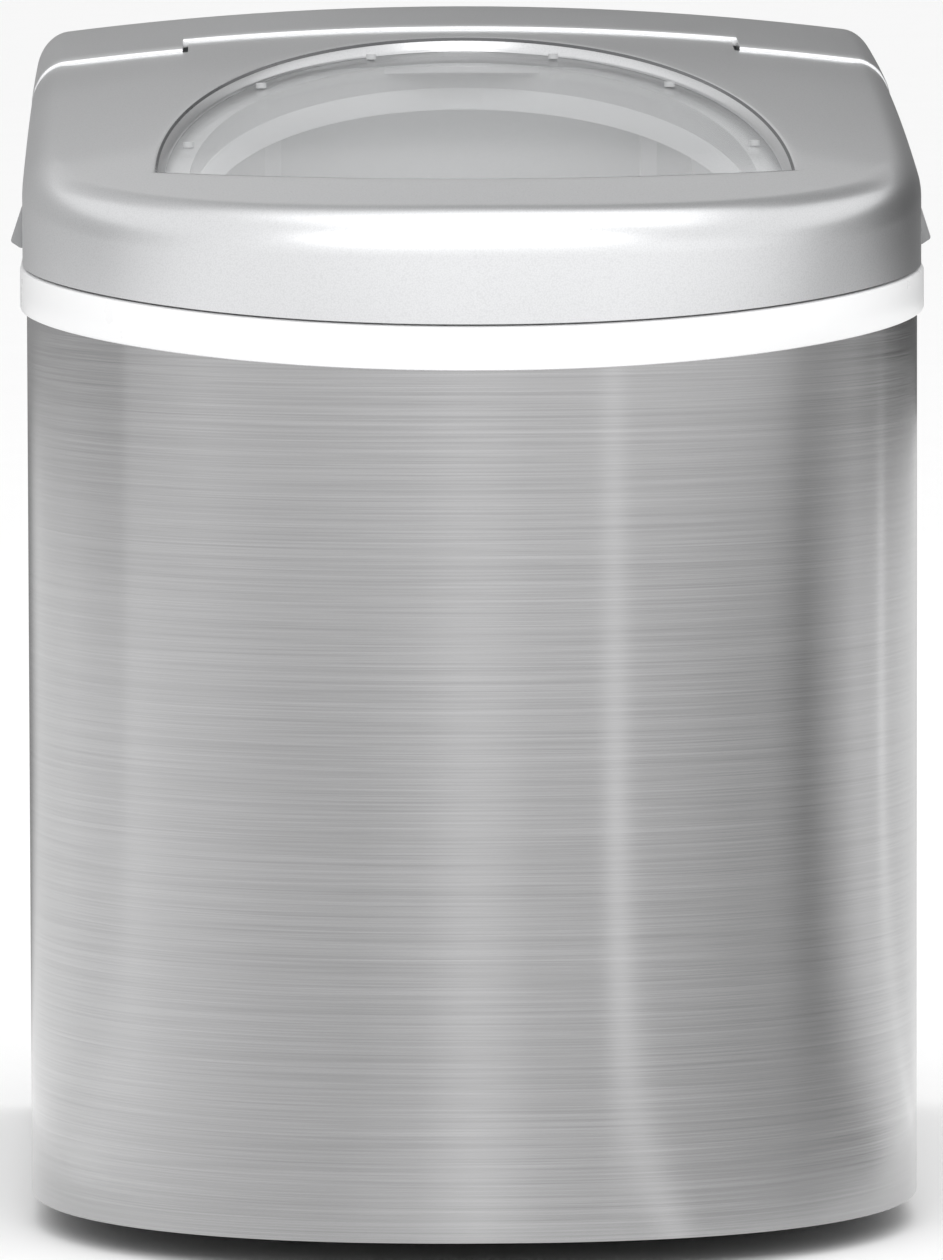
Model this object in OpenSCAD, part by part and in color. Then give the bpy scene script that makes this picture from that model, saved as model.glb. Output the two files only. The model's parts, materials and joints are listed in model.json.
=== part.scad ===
// Countertop ice maker: steel wrap, white rim band, silver lid with a window.
// +Z is up, the front faces -Y. The origin is at the centre of the footprint.

/* [Overall] */
// Width across the white rim band
band_w = 242; // [205:1:292]
// Depth of the rim band, front to back
band_d = 358; // [330:1:430]
// Height of the steel wrap below the rim band, at the centre of the front
wrap_h = 227.4; // [220:1:280]
// Height of the rubber feet
foot_h = 8; // [5:1:15]
// Depth of the rounded front, seen from above
nose = 120; // [100:1:140]
// Roundness of the front: 2 is an ellipse and more is squarer
nose_power = 2.3; // [2:0.1:3]

/* [Rim band and housing] */
// Height of the visible white band
band_h = 11.5; // [8:0.5:16]
// How far the band stands proud of the steel wrap
band_proud = 1.8; // [1.5:0.1:3]
// Radius of the arch that the band's edges follow across the front
arch_r = 1064; // [900:1:2000]
// Slope of the band towards the back
band_slope = 0.027; // [0:0.001:0.04]
// Height of the white deck above the band at the centre of the front
deck_rise = 17.1; // [16:0.1:20]
// Wall of the moulded housing parts
wall = 2.5; // [2:0.1:3]
// Width of the ledge under the lid's edge
ledge_w = 4.5; // [4.2:0.1:6]

/* [Steel wrap and base] */
// Sheet thickness of the wrap and the rear panel
sheet = 0.8; // [0.5:0.1:1.2]
// Length of the wrap's flanges behind the body
flange_l = 14; // [10:1:20]
// How far the rear panel sits inside the back of the band
panel_inset = 5; // [4:0.5:8]
// Thickness of the base pan's floor
pan_t = 2; // [1.5:0.1:3]
// Height of the base pan's rim
pan_rim_h = 16; // [10:1:25]
// Radius of a rubber foot
foot_r = 11; // [8:1:14]

/* [Lid] */
// Gap between the lid's side and the side of the band
lid_inset = 0.7; // [0.3:0.1:2]
// Height of the lid's front face, from its edge to the start of the top
lid_front_h = 29.1; // [26:0.1:40]
// Upward slope of the lid's top at the front
top_slope = 0.19; // [0.15:0.01:0.22]
// Front-to-back radius of the lid's top
top_r = 2380; // [2000:10:4000]
// Side-to-side radius of the lid's top
crown_r = 900; // [800:10:2000]
// Width of the rounding along the lid's upper edge
edge_w = 9; // [7:0.5:12]
// Height of the rounding along the lid's upper edge
edge_h = 11; // [8:0.5:14]
// Distance from the front to the back of the lid beside the tongue
lid_len = 262.5; // [250:0.5:275]
// Length of the tongue that reaches back into the rear deck
tongue_l = 24; // [20:0.5:28]
// Width of the tongue
tongue_w = 153; // [140:1:160]
// Gap between the lid and the rear deck
lid_gap = 1.5; // [1.2:0.1:2.5]
// Angle to which the lid opens
lid_open = 82; // [60:1:85]

/* [Window] */
// Width of the window recess
window_w = 169; // [150:1:180]
// Distance from the front of the lid to the front of the recess
window_front = 40; // [35:1:55]
// Length of the recess behind its two corners
window_len = 201.5; // [160:0.5:205]
// Bow of the recess's front edge
window_bow = 27.5; // [15:0.5:30]
// Depth of the recess
window_deep = 3.8; // [3:0.1:5]
// Thickness of the clear window
window_t = 2; // [1.5:0.1:3]

/* [Hinge] */
// Radius of the hinge pins
pin_r = 1.8; // [1.4:0.1:2]
// Radial clearance of each turning pin
pin_gap = 0.05; // [0.02:0.01:0.1]
// Outer radius of the hinge knuckles
knuckle_r = 3.8; // [3.4:0.1:4.2]
// Distance of each hinge arm from the centre
hinge_x = 60; // [50:1:64]
// Width of a hinge arm
arm_w = 9; // [6:0.5:12]

/* [Tub and basket] */
// Clearance between the tub and the side of the band
tub_side = 21; // [19:0.5:30]
// Distance from the front of the band to the tub
tub_front = 29; // [27:0.5:35]
// Inside length of the tub
tub_len = 212; // [175:1:225]
// Height of the tub's floor above the base
tub_floor = 92; // [85:1:105]
// Wall of the tub
tub_wall = 2; // [1.5:0.1:3]
// Thickness of the foam round the tub
foam_t = 4; // [2:0.5:5]
// Gap between the basket and the tub
basket_gap = 6; // [4:0.5:12]
// Wall of the basket
basket_wall = 1.8; // [1.5:0.1:3]
// Depth of the basket
basket_h = 84; // [60:1:95]
// Height of the basket's floor above the tub's floor
basket_lift = 50; // [40:1:60]
// Free lift of the basket under the closed lid
basket_travel = 18; // [5:1:20]

/* [Ice works] */
// Number of freezing fingers
fingers = 9; // [6:1:12]
// Radius of a freezing finger
finger_r = 4.5; // [3.5:0.1:5]
// Length of a freezing finger
finger_l = 26; // [20:1:32]
// Distance between the fingers
finger_pitch = 13.6; // [11:0.1:14]
// Inner radius of the water tray
tray_r = 24; // [20:0.5:29]
// Wall of the water tray
tray_wall = 1.6; // [1.2:0.1:2.5]
// Angle through which the water tray tips
tray_tip = 65; // [45:1:68]
// Radius of the tray's two shaft stubs
stub_r = 3; // [2:0.1:4]

/* [Machinery] */
// Radius of the compressor shell
comp_r = 47; // [40:0.5:50]
// Height of the compressor shell
comp_h = 128; // [100:1:140]
// Height of the rubber grommets under the compressor
grommet_h = 12; // [8:1:18]
// Distance between the condenser's fins
fin_pitch = 4; // [3:0.5:6]
// Clearance round the fan inside its shroud
fan_gap = 3; // [2:0.5:5]
// Number of fan blades
fan_blades = 5; // [3:1:7]
// Radius of the pump housing
pump_r = 19; // [15:0.5:24]
// Outer radius of the refrigerant tubes
tube_r = 3; // [2:0.1:4]
// Outer radius of the drain hose
hose_r = 5; // [4:0.1:6]

/* [Controls] */
// Radius of a button
button_r = 4; // [3.5:0.1:5]
// Travel of a button
button_travel = 1.2; // [0.8:0.1:1.4]
// Clearance round a button
button_gap = 0.3; // [0.3:0.1:0.6]
// Distance of each button from the centre
button_x = 14; // [12:1:30]

/* [Hidden] */
$fn = 48;

// Small gap between pieces that sit in each other, and overshoot of a cut.
fit = 0.3;
cut = 1;

// Overall lines.
front_y = -band_d / 2;
back_y = band_d / 2;
base_z = foot_h;
band_z = base_z + wrap_h;
rim_z = band_z + band_h;
deck_z = rim_z + deck_rise;
crown_z = rim_z + lid_front_h;
wrap_hw = band_w / 2 - band_proud;
in_hw = wrap_hw - sheet;
lid_hw = band_w / 2 - lid_inset;
panel_y = back_y - panel_inset;

// Places that several pieces share.
tub_hw = band_w / 2 - tub_side;
tub_front_y = front_y + tub_front;
tub_back_y = tub_front_y + tub_len;
tub_nose = min(nose - tub_side, tub_len * 0.467);
tub_r = 12;
tub_bottom_z = base_z + tub_floor;
tub_top_z = deck_z + 2;
tray_y = tub_back_y - 35;
bar_drop = 12;
tray_z = deck_z - bar_drop - finger_l;
button_y = front_y + 18.3;
lens_r = 1.5;
lens_xs = [-5.5, 0, 5.5];
comp_feet = [45, 135, 225, 315];
hose_small_r = 3.5;
pump_x = 52;
pump_y = tub_front_y + 110;

// Heights of the band's edges and of the lid's top at a point p = [x, y].
function from_front(p) = p[1] - front_y;
function band_low(p) = band_z + p[0] * p[0] / (2 * arch_r) + band_slope * from_front(p);
function band_high(p) = band_low(p) + band_h;
// Ceiling inside the band, which the wrap's upper edge reaches up to.
function band_inside(p) = min(band_high(p) - wall, deck_z - 3);
function top_z(p) = crown_z + top_slope * from_front(p) - pow(from_front(p), 2) / (2 * top_r)
  - p[0] * p[0] / (2 * crown_r);
function at(p, z) = [p[0], p[1], z];
function mix(a, b, f) = a * (1 - f) + b * f;
function reverse(pts) = [for (i = [len(pts) - 1 : -1 : 0]) pts[i]];

// Outline seen from above, counterclockwise from the left end of the rounded front.
nose_n = 40;
side_n = 8;
corner_n = 4;
rear_n = 10;
function nose_pts(hw, front, depth) = [for (i = [0 : nose_n]) let (t = -90 + 180 * i / nose_n)
  [hw * sign(sin(t)) * pow(abs(sin(t)), 2 / nose_power),
    front + depth * (1 - pow(abs(cos(t)), 2 / nose_power))]];
function rear_pts(hw, start, back, r) = concat(
  [for (i = [1 : side_n]) [hw, mix(start, back - r, i / side_n)]],
  [for (i = [1 : corner_n]) let (a = 90 * i / corner_n) [hw - r + r * cos(a), back - r + r * sin(a)]],
  [for (i = [1 : rear_n]) [mix(hw - r, r - hw, i / rear_n), back]],
  [for (i = [1 : corner_n]) let (a = 90 + 90 * i / corner_n) [r - hw + r * cos(a), back - r + r * sin(a)]],
  [for (i = [1 : side_n - 1]) [-hw, mix(back - r, start, i / side_n)]]);
function outline(hw, front, back, depth, r) =
  concat(nose_pts(hw, front, depth), rear_pts(hw, front + depth, back, r));
// The body's outline moved inwards by d.
function body_outline(d, r = 4) = outline(band_w / 2 - d, front_y + d, back_y - d, nose - d, max(r - d, 1));

// Closed mesh over rings of equal length. The first rings climb the outside, and loop joins the last
// ring to the first.
module skin(rings, loop = false) {
  n = len(rings[0]);
  m = len(rings);
  sides = [for (k = [0 : m - (loop ? 1 : 2)], i = [0 : n - 1])
    let (a = k * n + i, b = k * n + (i + 1) % n, c = ((k + 1) % m) * n + (i + 1) % n,
      d = ((k + 1) % m) * n + i)
    each [[a, d, c], [a, c, b]]];
  caps = loop ? [] : [[for (i = [0 : n - 1]) i], [for (i = [0 : n - 1]) m * n - 1 - i]];
  polyhedron(points = [for (r = rings) each r], faces = concat(sides, caps));
}

module slab(points, z0, z1) {
  translate([0, 0, z0]) linear_extrude(z1 - z0) polygon(points);
}

// Box from its lowest to its highest corner.
module span(lo, hi) {
  translate(lo) cube(hi - lo);
}

// Straight rod between two points.
module rod(a, b, r) {
  v = b - a;
  translate(a) rotate([0, acos(v[2] / norm(v)), atan2(v[1], v[0])]) cylinder(h = norm(v), r = r);
}

// Tube swept along a path whose corners are rounded off over the length bend.
tube_sides = 10;
function unit(v) = v / norm(v);
function bent(pts, bend) = let (last = len(pts) - 1) concat([pts[0]],
  [for (i = [1 : last - 1]) let (b = pts[i], p = b + bend * unit(pts[i - 1] - b),
    q = b + bend * unit(pts[i + 1] - b))
    for (t = [0 : 0.25 : 1]) p * pow(1 - t, 2) + b * 2 * t * (1 - t) + q * t * t],
  [pts[last]]);
function heading(path, i) = unit(path[min(i + 1, len(path) - 1)] - path[max(i - 1, 0)]);
function side_of(path, i) = let (t = heading(path, i),
  n = i == 0 ? (abs(t[2]) > 0.9 ? [1, 0, 0] : [0, 0, 1]) : side_of(path, i - 1)) unit(n - (n * t) * t);
module pipe(pts, r, bend = 8) {
  path = bent(pts, bend);
  skin([for (i = [0 : len(path) - 1]) let (t = heading(path, i), n = side_of(path, i), m = cross(t, n))
    [for (k = [0 : tube_sides - 1]) path[i] + r * (cos(360 * k / tube_sides)
      * n + sin(360 * k / tube_sides) * m)]]);
}

module mirrored() {
  children();
  mirror([1, 0, 0]) children();
}

module screw(head_r, head_h, shank_r, shank_l) {
  cylinder(h = shank_l + 0.1, r = shank_r);
  translate([0, 0, shank_l]) cylinder(h = head_h, r = head_r);
}

// ---------------------------------------------------------------- base and wrap
pan_outline_in = band_proud + sheet + fit;
foot_front_y = front_y + 91;
foot_back_y = back_y - 22;
foot_xs = [in_hw - 48, in_hw - 18];
foot_places = [[-foot_xs[0], foot_front_y], [foot_xs[0], foot_front_y],
  [-foot_xs[1], foot_back_y], [foot_xs[1], foot_back_y]];
foot_screw_r = 2;
pan_back_y = panel_y - 2 * sheet - fit;

vents = 5;
vent_pitch = 12;
vent_w = 6;
vent_l = 60;
vent_y = -20;

function pan_pts(d) = outline(band_w / 2 - d, front_y + d, pan_back_y - d + pan_outline_in, nose - d, 2);

module base_pan() {
  color("dimgray") difference() {
    slab(pan_pts(pan_outline_in), base_z, base_z + pan_rim_h);
    slab(pan_pts(pan_outline_in + pan_t), base_z + pan_t, base_z + pan_rim_h + cut);
    for (p = foot_places) translate(at(p, base_z - cut)) cylinder(h = pan_t + 2 * cut,
      r = foot_screw_r + fit);
    for (i = [-vents : vents]) translate([i * vent_pitch - vent_w / 2, vent_y, base_z - cut])
      cube([vent_w, vent_l, pan_t + 2 * cut]);
  }
}

foot_pocket_r = 5;
foot_web = 2.5;
module rubber_feet() {
  color("black") for (p = foot_places) translate(at(p, 0)) difference() {
    cylinder(h = foot_h, r1 = foot_r - 1.5, r2 = foot_r);
    translate([0, 0, -cut]) cylinder(h = foot_h - foot_web + cut, r = foot_pocket_r);
    cylinder(h = foot_h + cut, r = foot_screw_r + fit);
  }
}

module foot_screws() {
  color("silver") for (p = foot_places) translate(at(p, 0)) {
    translate([0, 0, foot_h - foot_web - 2]) cylinder(h = 2, r = foot_pocket_r - 1);
    translate([0, 0, foot_h - foot_web - 0.5]) cylinder(h = foot_web + pan_t + 4, r = foot_screw_r);
  }
}

// Path of the steel sheet round the front and sides, ending in two flanges behind.
wrap_back_y = panel_y;
function wrap_path(d) = let (hw = wrap_hw - d, end = wrap_back_y - d) concat(
  [[-(wrap_hw - flange_l), end], [-hw, end]],
  [for (i = [0 : side_n - 1]) [-hw, mix(end, front_y + nose, (i + 0.5) / side_n)]],
  nose_pts(hw, front_y + band_proud + d, nose - band_proud - d),
  [for (i = [side_n - 1 : -1 : 0]) [hw, mix(end, front_y + nose, (i + 0.5) / side_n)]],
  [[hw, end], [wrap_hw - flange_l, end]]);

module outer_wrap() {
  outer = wrap_path(0);
  inner = wrap_path(sheet);
  color([0.72, 0.73, 0.74]) skin([for (i = [0 : len(outer) - 1])
    [at(outer[i], base_z), at(inner[i], base_z), at(inner[i], band_inside(inner[i]) - fit),
     at(outer[i], band_inside(outer[i]) - fit)]]);
}

// ---------------------------------------------------------------- upper housing and tub
function tub_outline(d) = outline(tub_hw - d, tub_front_y + d, tub_back_y - d, tub_nose - d,
  max(tub_r - d, 2));

module button_holes(r) {
  for (s = [-1, 1]) translate([s * button_x, button_y, deck_z - 3 * cut]) cylinder(h = 8, r = r);
}

module upper_housing() {
  band = body_outline(0);
  ledge = body_outline(ledge_w);
  inside = body_outline(ledge_w + wall - 0.5);
  sleeve = body_outline(band_proud - 0.2);
  hole = tub_outline(-fit);
  color("white") difference() {
    skin([
      [for (p = band) at(p, band_low(p))],
      [for (p = band) at(p, band_high(p))],
      [for (p = ledge) at(p, band_high(p))],
      [for (p = ledge) at(p, deck_z)],
      [for (p = hole) at(p, deck_z)],
      [for (p = hole) at(p, deck_z - 2)],
      [for (p = inside) at(p, deck_z - 2)],
      [for (p = inside) at(p, band_inside(p))],
      [for (p = sleeve) at(p, band_inside(p))],
      [for (p = sleeve) at(p, band_low(p))]], loop = true);
    button_holes(button_r + button_gap);
  }
}

tub_flange = 4;
drain_hole_r = 4;
tub_drain = [0, tub_back_y - 30];
tube_xs = [-25, 25];
tube_z = deck_z - 6;
hose_in = [tub_hw, tub_back_y - 36, deck_z - 20];
ledge_ys = [tub_nose + 1, tub_nose + 25];
basket_floor_z = tub_bottom_z + basket_lift;
rest_w = 10;
rest_l = 12;
front_rest_hw = 12;

module inner_tub() {
  color("whitesmoke") difference() {
    union() {
      difference() {
        union() {
          slab(tub_outline(0), tub_bottom_z, deck_z);
          slab(tub_outline(-tub_flange), deck_z, tub_top_z);
        }
        slab(tub_outline(tub_wall), tub_bottom_z + tub_wall, tub_top_z + cut);
      }
      for (s = [-1, 1], y = ledge_ys) translate([s * (tub_hw - basket_gap) - rest_w / 2,
        tub_front_y + y, tub_bottom_z + 1])
        cube([rest_w, rest_l, basket_lift - 1]);
      span([-front_rest_hw, tub_front_y + 1, tub_bottom_z + 1],
        [front_rest_hw, tub_front_y + tub_wall + basket_gap + 6, basket_floor_z]);
    }
    translate(at(tub_drain, tub_bottom_z - cut)) cylinder(h = 3 * cut + tub_wall, r = drain_hole_r);
    translate([pump_x, pump_y, tub_bottom_z - cut]) cylinder(h = 3 * cut + tub_wall, r = 6 + fit);
    for (x = tube_xs) translate([x, tub_back_y - tub_wall - cut, tube_z]) rotate([-90, 0, 0])
      cylinder(h = tub_wall + 2 * cut, r = tube_r + 1);
    translate(hose_in - [tub_wall + cut, 0, 0]) rotate([0, 90, 0]) cylinder(h = tub_wall + 2 * cut,
      r = hose_small_r + fit);
  }
}

module tub_foam() {
  color("ivory") difference() {
    slab(tub_outline(-fit - foam_t), tub_bottom_z + 2, deck_z - 26);
    slab(tub_outline(-fit), tub_bottom_z + cut, deck_z);
  }
}

// ---------------------------------------------------------------- rear deck and hinge
deck_front_y = front_y + lid_len + lid_gap;
tongue_back_y = front_y + lid_len + tongue_l;
deck_mid_y = tongue_back_y + lid_gap;
deck_proud = 1;
deck_back_y = back_y - 1;

// The deck is lofted across: each station x holds one front-to-back section of its wall.
deck_back_r = 7;
deck_ys = [0, 0.35, 0.7];
back_arc = [for (a = [0 : 22.5 : 90]) sin(a)];
// Drop of a rounded edge of the given width and height at distance d from it.
function edge_fall(d, width, height)
  = d >= width ? 0 : height * (1 - sqrt(1 - pow(1 - max(d, 0) / width, 2)));
function deck_front(x) = abs(x) < tongue_w / 2 + lid_gap ? deck_mid_y : deck_front_y;
function deck_top(p) = top_z(p) + deck_proud - edge_fall(lid_hw - abs(p[0]), edge_w, edge_h)
  - edge_fall(deck_back_y - p[1], deck_back_r, deck_back_r * 0.7);
function deck_section(x, solid) = let (
  y0 = deck_front(x), y1 = deck_back_y - deck_back_r, y2 = deck_back_y - wall,
    low = band_high([x, deck_back_y]),
  ys = concat([for (f = deck_ys) mix(y0, y1, f)], [for (f = back_arc) y1 + deck_back_r * f]),
  under = [for (y = [y2, y1, mix(y0, y1, 0.7), mix(y0, y1, 0.35), y0]) [x, y,
    solid ? band_high([x, y]) + 0.1 : deck_top([x, y]) - wall * (y > y1 ? 1.2 : 1)]])
  concat([for (y = ys) [x, y, deck_top([x, y])]], [[x, deck_back_y, low], [x, y2, low]], under);
side_xs = [for (a = [0 : 15 : 90]) lid_hw - edge_w * (1 - cos(a))];
notch_x = tongue_w / 2 + lid_gap;
deck_xs = concat([for (x = side_xs) if (x > lid_hw - wall) x], [lid_hw - wall, lid_hw - wall - 0.05],
  [for (x = side_xs) if (x < lid_hw - wall - 0.1) x],
    [mix(lid_hw - edge_w, notch_x, 0.5), notch_x + 0.02, notch_x - 0.02],
  [for (i = [1 : 4]) notch_x * (1 - i / 5)], [0]);

module rear_deck() {
  right = [for (x = deck_xs) deck_section(x, x > lid_hw - wall - 0.01)];
  left = [for (i = [len(deck_xs) - 2 : -1 : 0]) deck_section(-deck_xs[i],
    deck_xs[i] > lid_hw - wall - 0.01)];
  color("silver") skin(concat(right, left));
}

hinge_y = tongue_back_y - 10;
ear_w = 4.5;
ear_gap = 0.5;
hinge_z = top_z([hinge_x + arm_w / 2 + ear_gap + ear_w, hinge_y]) - wall - knuckle_r - 0.1;
arm_l = 12;
arm_top_z = top_z([hinge_x + arm_w / 2, hinge_y - knuckle_r - arm_l]) - wall;
ear_xs = [hinge_x - arm_w / 2 - ear_gap - ear_w, hinge_x + arm_w / 2 + ear_gap];

module knuckle(x, width, foot_z) {
  translate([x, hinge_y, hinge_z]) rotate([0, 90, 0]) cylinder(h = width, r = knuckle_r - 0.1);
  span([x, hinge_y - knuckle_r + 0.1, min(foot_z, hinge_z)],
    [x + width, hinge_y + knuckle_r - 0.1, max(foot_z, hinge_z)]);
}

module hinge_bore(r) {
  translate([ear_xs[0] - cut, hinge_y, hinge_z]) rotate([0, 90, 0])
    cylinder(h = ear_xs[1] - ear_xs[0] + ear_w + 2 * cut, r = r);
}

module hinge_brackets() {
  color("white") mirrored() difference() {
    union() {
      for (x = ear_xs) knuckle(x, ear_w, deck_z);
      span([ear_xs[0], hinge_y - 14, deck_z], [ear_xs[1] + ear_w, hinge_y + 14, deck_z + 3]);
    }
    hinge_bore(pin_r);
  }
}

module hinge_pins() {
  color("silver") mirrored() translate([ear_xs[0], hinge_y, hinge_z]) rotate([0, 90, 0])
    cylinder(h = ear_xs[1] - ear_xs[0] + ear_w, r = pin_r);
}

// The arm's top stops just under the tongue, where it is glued.
module lid_hinge_arms() {
  x0 = hinge_x - arm_w / 2;
  color("gainsboro") mirrored() difference() {
    union() {
      translate([x0, hinge_y, hinge_z]) rotate([0, 90, 0]) cylinder(h = arm_w, r = knuckle_r - 0.1);
      span([x0, hinge_y - knuckle_r - arm_l, hinge_z], [x0 + arm_w, hinge_y, arm_top_z]);
    }
    hinge_bore(pin_r + pin_gap);
  }
}

// ---------------------------------------------------------------- lid
lid_back_y = front_y + lid_len;
// Back edge of the lid from right to left, with the tongue in the middle.
back_steps = [for (i = [0 : 4]) i / 4];
// Share of an inset that the edges along the parting line take.
back_share = 0.12;
function back_pts(hw, back, in, tongue) = let (side = tongue_w / 2 - in, right = concat(
    [for (f = back_steps) [mix(hw, side, f), back - in]],
    [for (i = [0 : 4]) [mix(side, 0, i / 4), back + tongue - in]]))
  concat(right, [for (i = [len(right) - 2 : -1 : 0]) [-right[i][0], right[i][1]]]);
function lid_outline(d, back, share = back_share, tongue = tongue_l)
  = let (hw = lid_hw - d, side_y = front_y + nose) concat(
  nose_pts(hw, front_y + lid_inset + d, nose - lid_inset - d),
  [for (i = [1 : side_n]) [hw, mix(side_y, back - 2, i / side_n)]],
  back_pts(hw, back, d * share, tongue),
  [for (i = [side_n : -1 : 1]) [-hw, mix(side_y, back - 2, i / side_n)]]);
lid_n = len(lid_outline(0, lid_back_y));
function is_rear(p) = p[1] > lid_back_y - 1.6;
function lid_low_ring(d) = [for (p = lid_outline(d, lid_back_y, back_share / 2))
  at(p, is_rear(p) ? top_z(p) - wall : band_high(p) + 0.5)];
function lid_edge_ring(d, a) = [for (p = lid_outline(d + (edge_w - d) * (1 - cos(a)), lid_back_y))
  at(p, top_z(p) - d - (is_rear(p) ? 0 : (edge_h - d) * (1 - sin(a))))];
function blend_ring(a, b, f, drop) = [for (i = [0 : len(a) - 1]) let (p = mix(a[i], b[i], f))
  at(p, top_z(p) - drop)];
function flat_ring(a, drop) = [for (p = a) at(p, top_z(p) - drop)];
lip_t = 0.8;
bevel_w = 2.5;
bevel_h = window_deep - lip_t;
steps = [for (i = [1 : 3]) i / 4];

// Outline of the window recess moved inwards by d, with one point for each point of the lid's outline.
window_hw = window_w / 2;
window_tip_y = front_y + window_front + window_bow;
function window_outline(d) = concat(
  [for (q = nose_pts(1, 0, 1)) [(window_hw - d) * q[0], window_tip_y + d - window_bow * (1 - q[0] * q[0])]],
  [for (j = [1 : lid_n - nose_n - 1]) let (a = 180 * j / (lid_n - nose_n))
    [(window_hw - d) * cos(a), window_tip_y + d + (window_len - 2 * d) * sin(a)]]);
window_mid = [0, window_tip_y + window_len * 0.4];

module lid_cover() {
  top_in = lid_outline(edge_w, lid_back_y);
  color("silver") skin(concat(
    [lid_low_ring(0)],
    [for (a = [0 : 15 : 90]) lid_edge_ring(0, a)],
    [for (f = steps) blend_ring(top_in, window_outline(0), f, 0)],
    [flat_ring(window_outline(0), 0), flat_ring(window_outline(bevel_w), bevel_h),
     flat_ring(window_outline(bevel_w), window_deep), flat_ring(window_outline(-3), window_deep),
     flat_ring(window_outline(-5), wall)],
    [for (f = reverse(steps)) blend_ring(top_in, window_outline(-5), f, wall)],
    [for (a = [90 : -30 : 0]) lid_edge_ring(wall, a)],
    [lid_low_ring(wall)]), loop = true);
}

// Wedges on the lid's sides for the fingers that lift it.
grip_y = front_y + 138;
grip_z = rim_z + 15.5;
grip_out = 3.2;
module lid_finger_grips() {
  color("silver") mirrored() hull() {
    span([lid_hw + 0.02, grip_y - 15, grip_z + 9], [lid_hw + 0.3, grip_y + 15, grip_z + 10]);
    span([lid_hw + 0.02, grip_y - 13, grip_z], [lid_hw + grip_out, grip_y + 13, grip_z + 0.8]);
    span([lid_hw + 0.02, grip_y - 13, grip_z - 1.5], [lid_hw + 0.8, grip_y + 13, grip_z]);
  }
}

// Sheet of the window's outline, its top and bottom at given depths under the lid's top.
function sheet_rings(d, top, bottom) = let (edge = window_outline(d), fs = [0.02, 0.35, 0.7, 1])
  concat([for (f = fs) [for (p = edge) let (q = mix(window_mid, p, f)) at(q, top_z(q) - bottom)]],
    [for (f = reverse(fs)) [for (p = edge) let (q = mix(window_mid, p, f)) at(q, top_z(q) - top)]]);

window_top = window_deep + 0.05;
module lid_window() {
  color([0.75, 0.78, 0.8, 0.5]) skin(sheet_rings(-2, window_top, window_top + window_t));
}

tab_angles = [14, 44, 71, 109, 136, 166];
module window_tabs() {
  color("gainsboro") for (a = tab_angles) {
    p = [(window_hw - bevel_w - 4) * cos(a), window_tip_y + (window_len - bevel_w - 6) * sin(a)];
    translate(at(p, top_z(p) - window_top + 0.3)) cylinder(h = 1.4, r = 1.4);
  }
}

liner_top = window_top + window_t + 0.4;
liner_t = 1.8;
liner_in = edge_w + 1;
liner_rim = 11;
module lid_liner() {
  rim_out = window_outline(7);
  rim_in = window_outline(7 + liner_t);
  edge = lid_outline(liner_in, lid_back_y - liner_in, back_share, 0.5);
  color("lightgray") skin(concat(
    [flat_ring(edge, liner_top + liner_t), flat_ring(edge, liner_top)],
    [for (f = steps) blend_ring(edge, rim_in, f, liner_top)],
    [flat_ring(rim_in, liner_top), flat_ring(rim_in, liner_top + liner_t + liner_rim),
     flat_ring(rim_out, liner_top + liner_t + liner_rim), flat_ring(rim_out, liner_top + liner_t)],
    [for (f = reverse(steps)) blend_ring(edge, rim_out, f, liner_top + liner_t)]), loop = true);
}

screw_spots = [[-96, 110], [96, 110], [-96, 190], [96, 190], [-40, 22], [40, 22]];
module liner_screws() {
  color("silver") for (s = screw_spots) {
    p = [s[0] / 120 * lid_hw, front_y + s[1]];
    translate(at(p, top_z(p) - liner_top - liner_t - 1.6)) cylinder(h = 1.7, r = 3);
    translate(at(p, top_z(p) - liner_top - liner_t - 0.2))
      cylinder(h = liner_top + liner_t - wall - 0.6, r = 1.3);
  }
}

// ---------------------------------------------------------------- controls
panel_hw = button_x + 20;
panel_half_depth = 6;
flange_r = button_r + 1;
panel_top_z = deck_z + 1.5;
module control_panel() {
  color([0.2, 0.21, 0.22]) difference() {
    span([-panel_hw, button_y - panel_half_depth, deck_z],
      [panel_hw, button_y + panel_half_depth, panel_top_z]);
    button_holes(button_r + button_gap);
    for (x = lens_xs) translate([x, button_y, deck_z - cut]) cylinder(h = 4, r = lens_r);
  }
}

module button(x) {
  translate([x, button_y, 0]) {
    translate([0, 0, deck_z - 5]) cylinder(h = panel_top_z - deck_z + 6.2, r = button_r);
    translate([0, 0, deck_z - 6.5]) cylinder(h = 1.5, r = flange_r);
  }
}
module power_button() {
  color("silver") button(-button_x);
}
module select_button() {
  color("silver") button(button_x);
}

module indicator_lenses() {
  color("limegreen") for (x = lens_xs) translate([x, button_y, deck_z]) cylinder(h = 2, r = lens_r);
}

board_top_z = deck_z - 6.5 - button_travel - 0.4;
module button_board() {
  color("darkgreen") {
    span([-panel_hw, button_y - 5.5, board_top_z - 1.6], [panel_hw, button_y + 5.5, board_top_z]);
    for (s = [-1, 1]) span([s * (panel_hw - 8) - 3, button_y - 2, board_top_z],
      [s * (panel_hw - 7) + 3, button_y + 3, deck_z - 2]);
  }
}

// ---------------------------------------------------------------- basket and scoop
basket_hw = tub_hw - tub_wall - basket_gap;
basket_front_y = tub_front_y + tub_wall + basket_gap;
basket_back_y = tray_y - tray_r - tray_wall - 15;
basket_nose = tub_nose - tub_wall - basket_gap;
basket_top_z = basket_floor_z + basket_h;
basket_low_z = basket_floor_z + 48;
basket_slot_y = 38;
basket_slot_pitch = 26;
basket_slot_l = 20;
basket_slots = floor((basket_back_y - basket_front_y - basket_slot_y - basket_slot_pitch / 4)
  / basket_slot_pitch);
function basket_outline(d) = outline(basket_hw - d, basket_front_y + d, basket_back_y - d,
  min(basket_nose - d, 90), 6);

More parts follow.
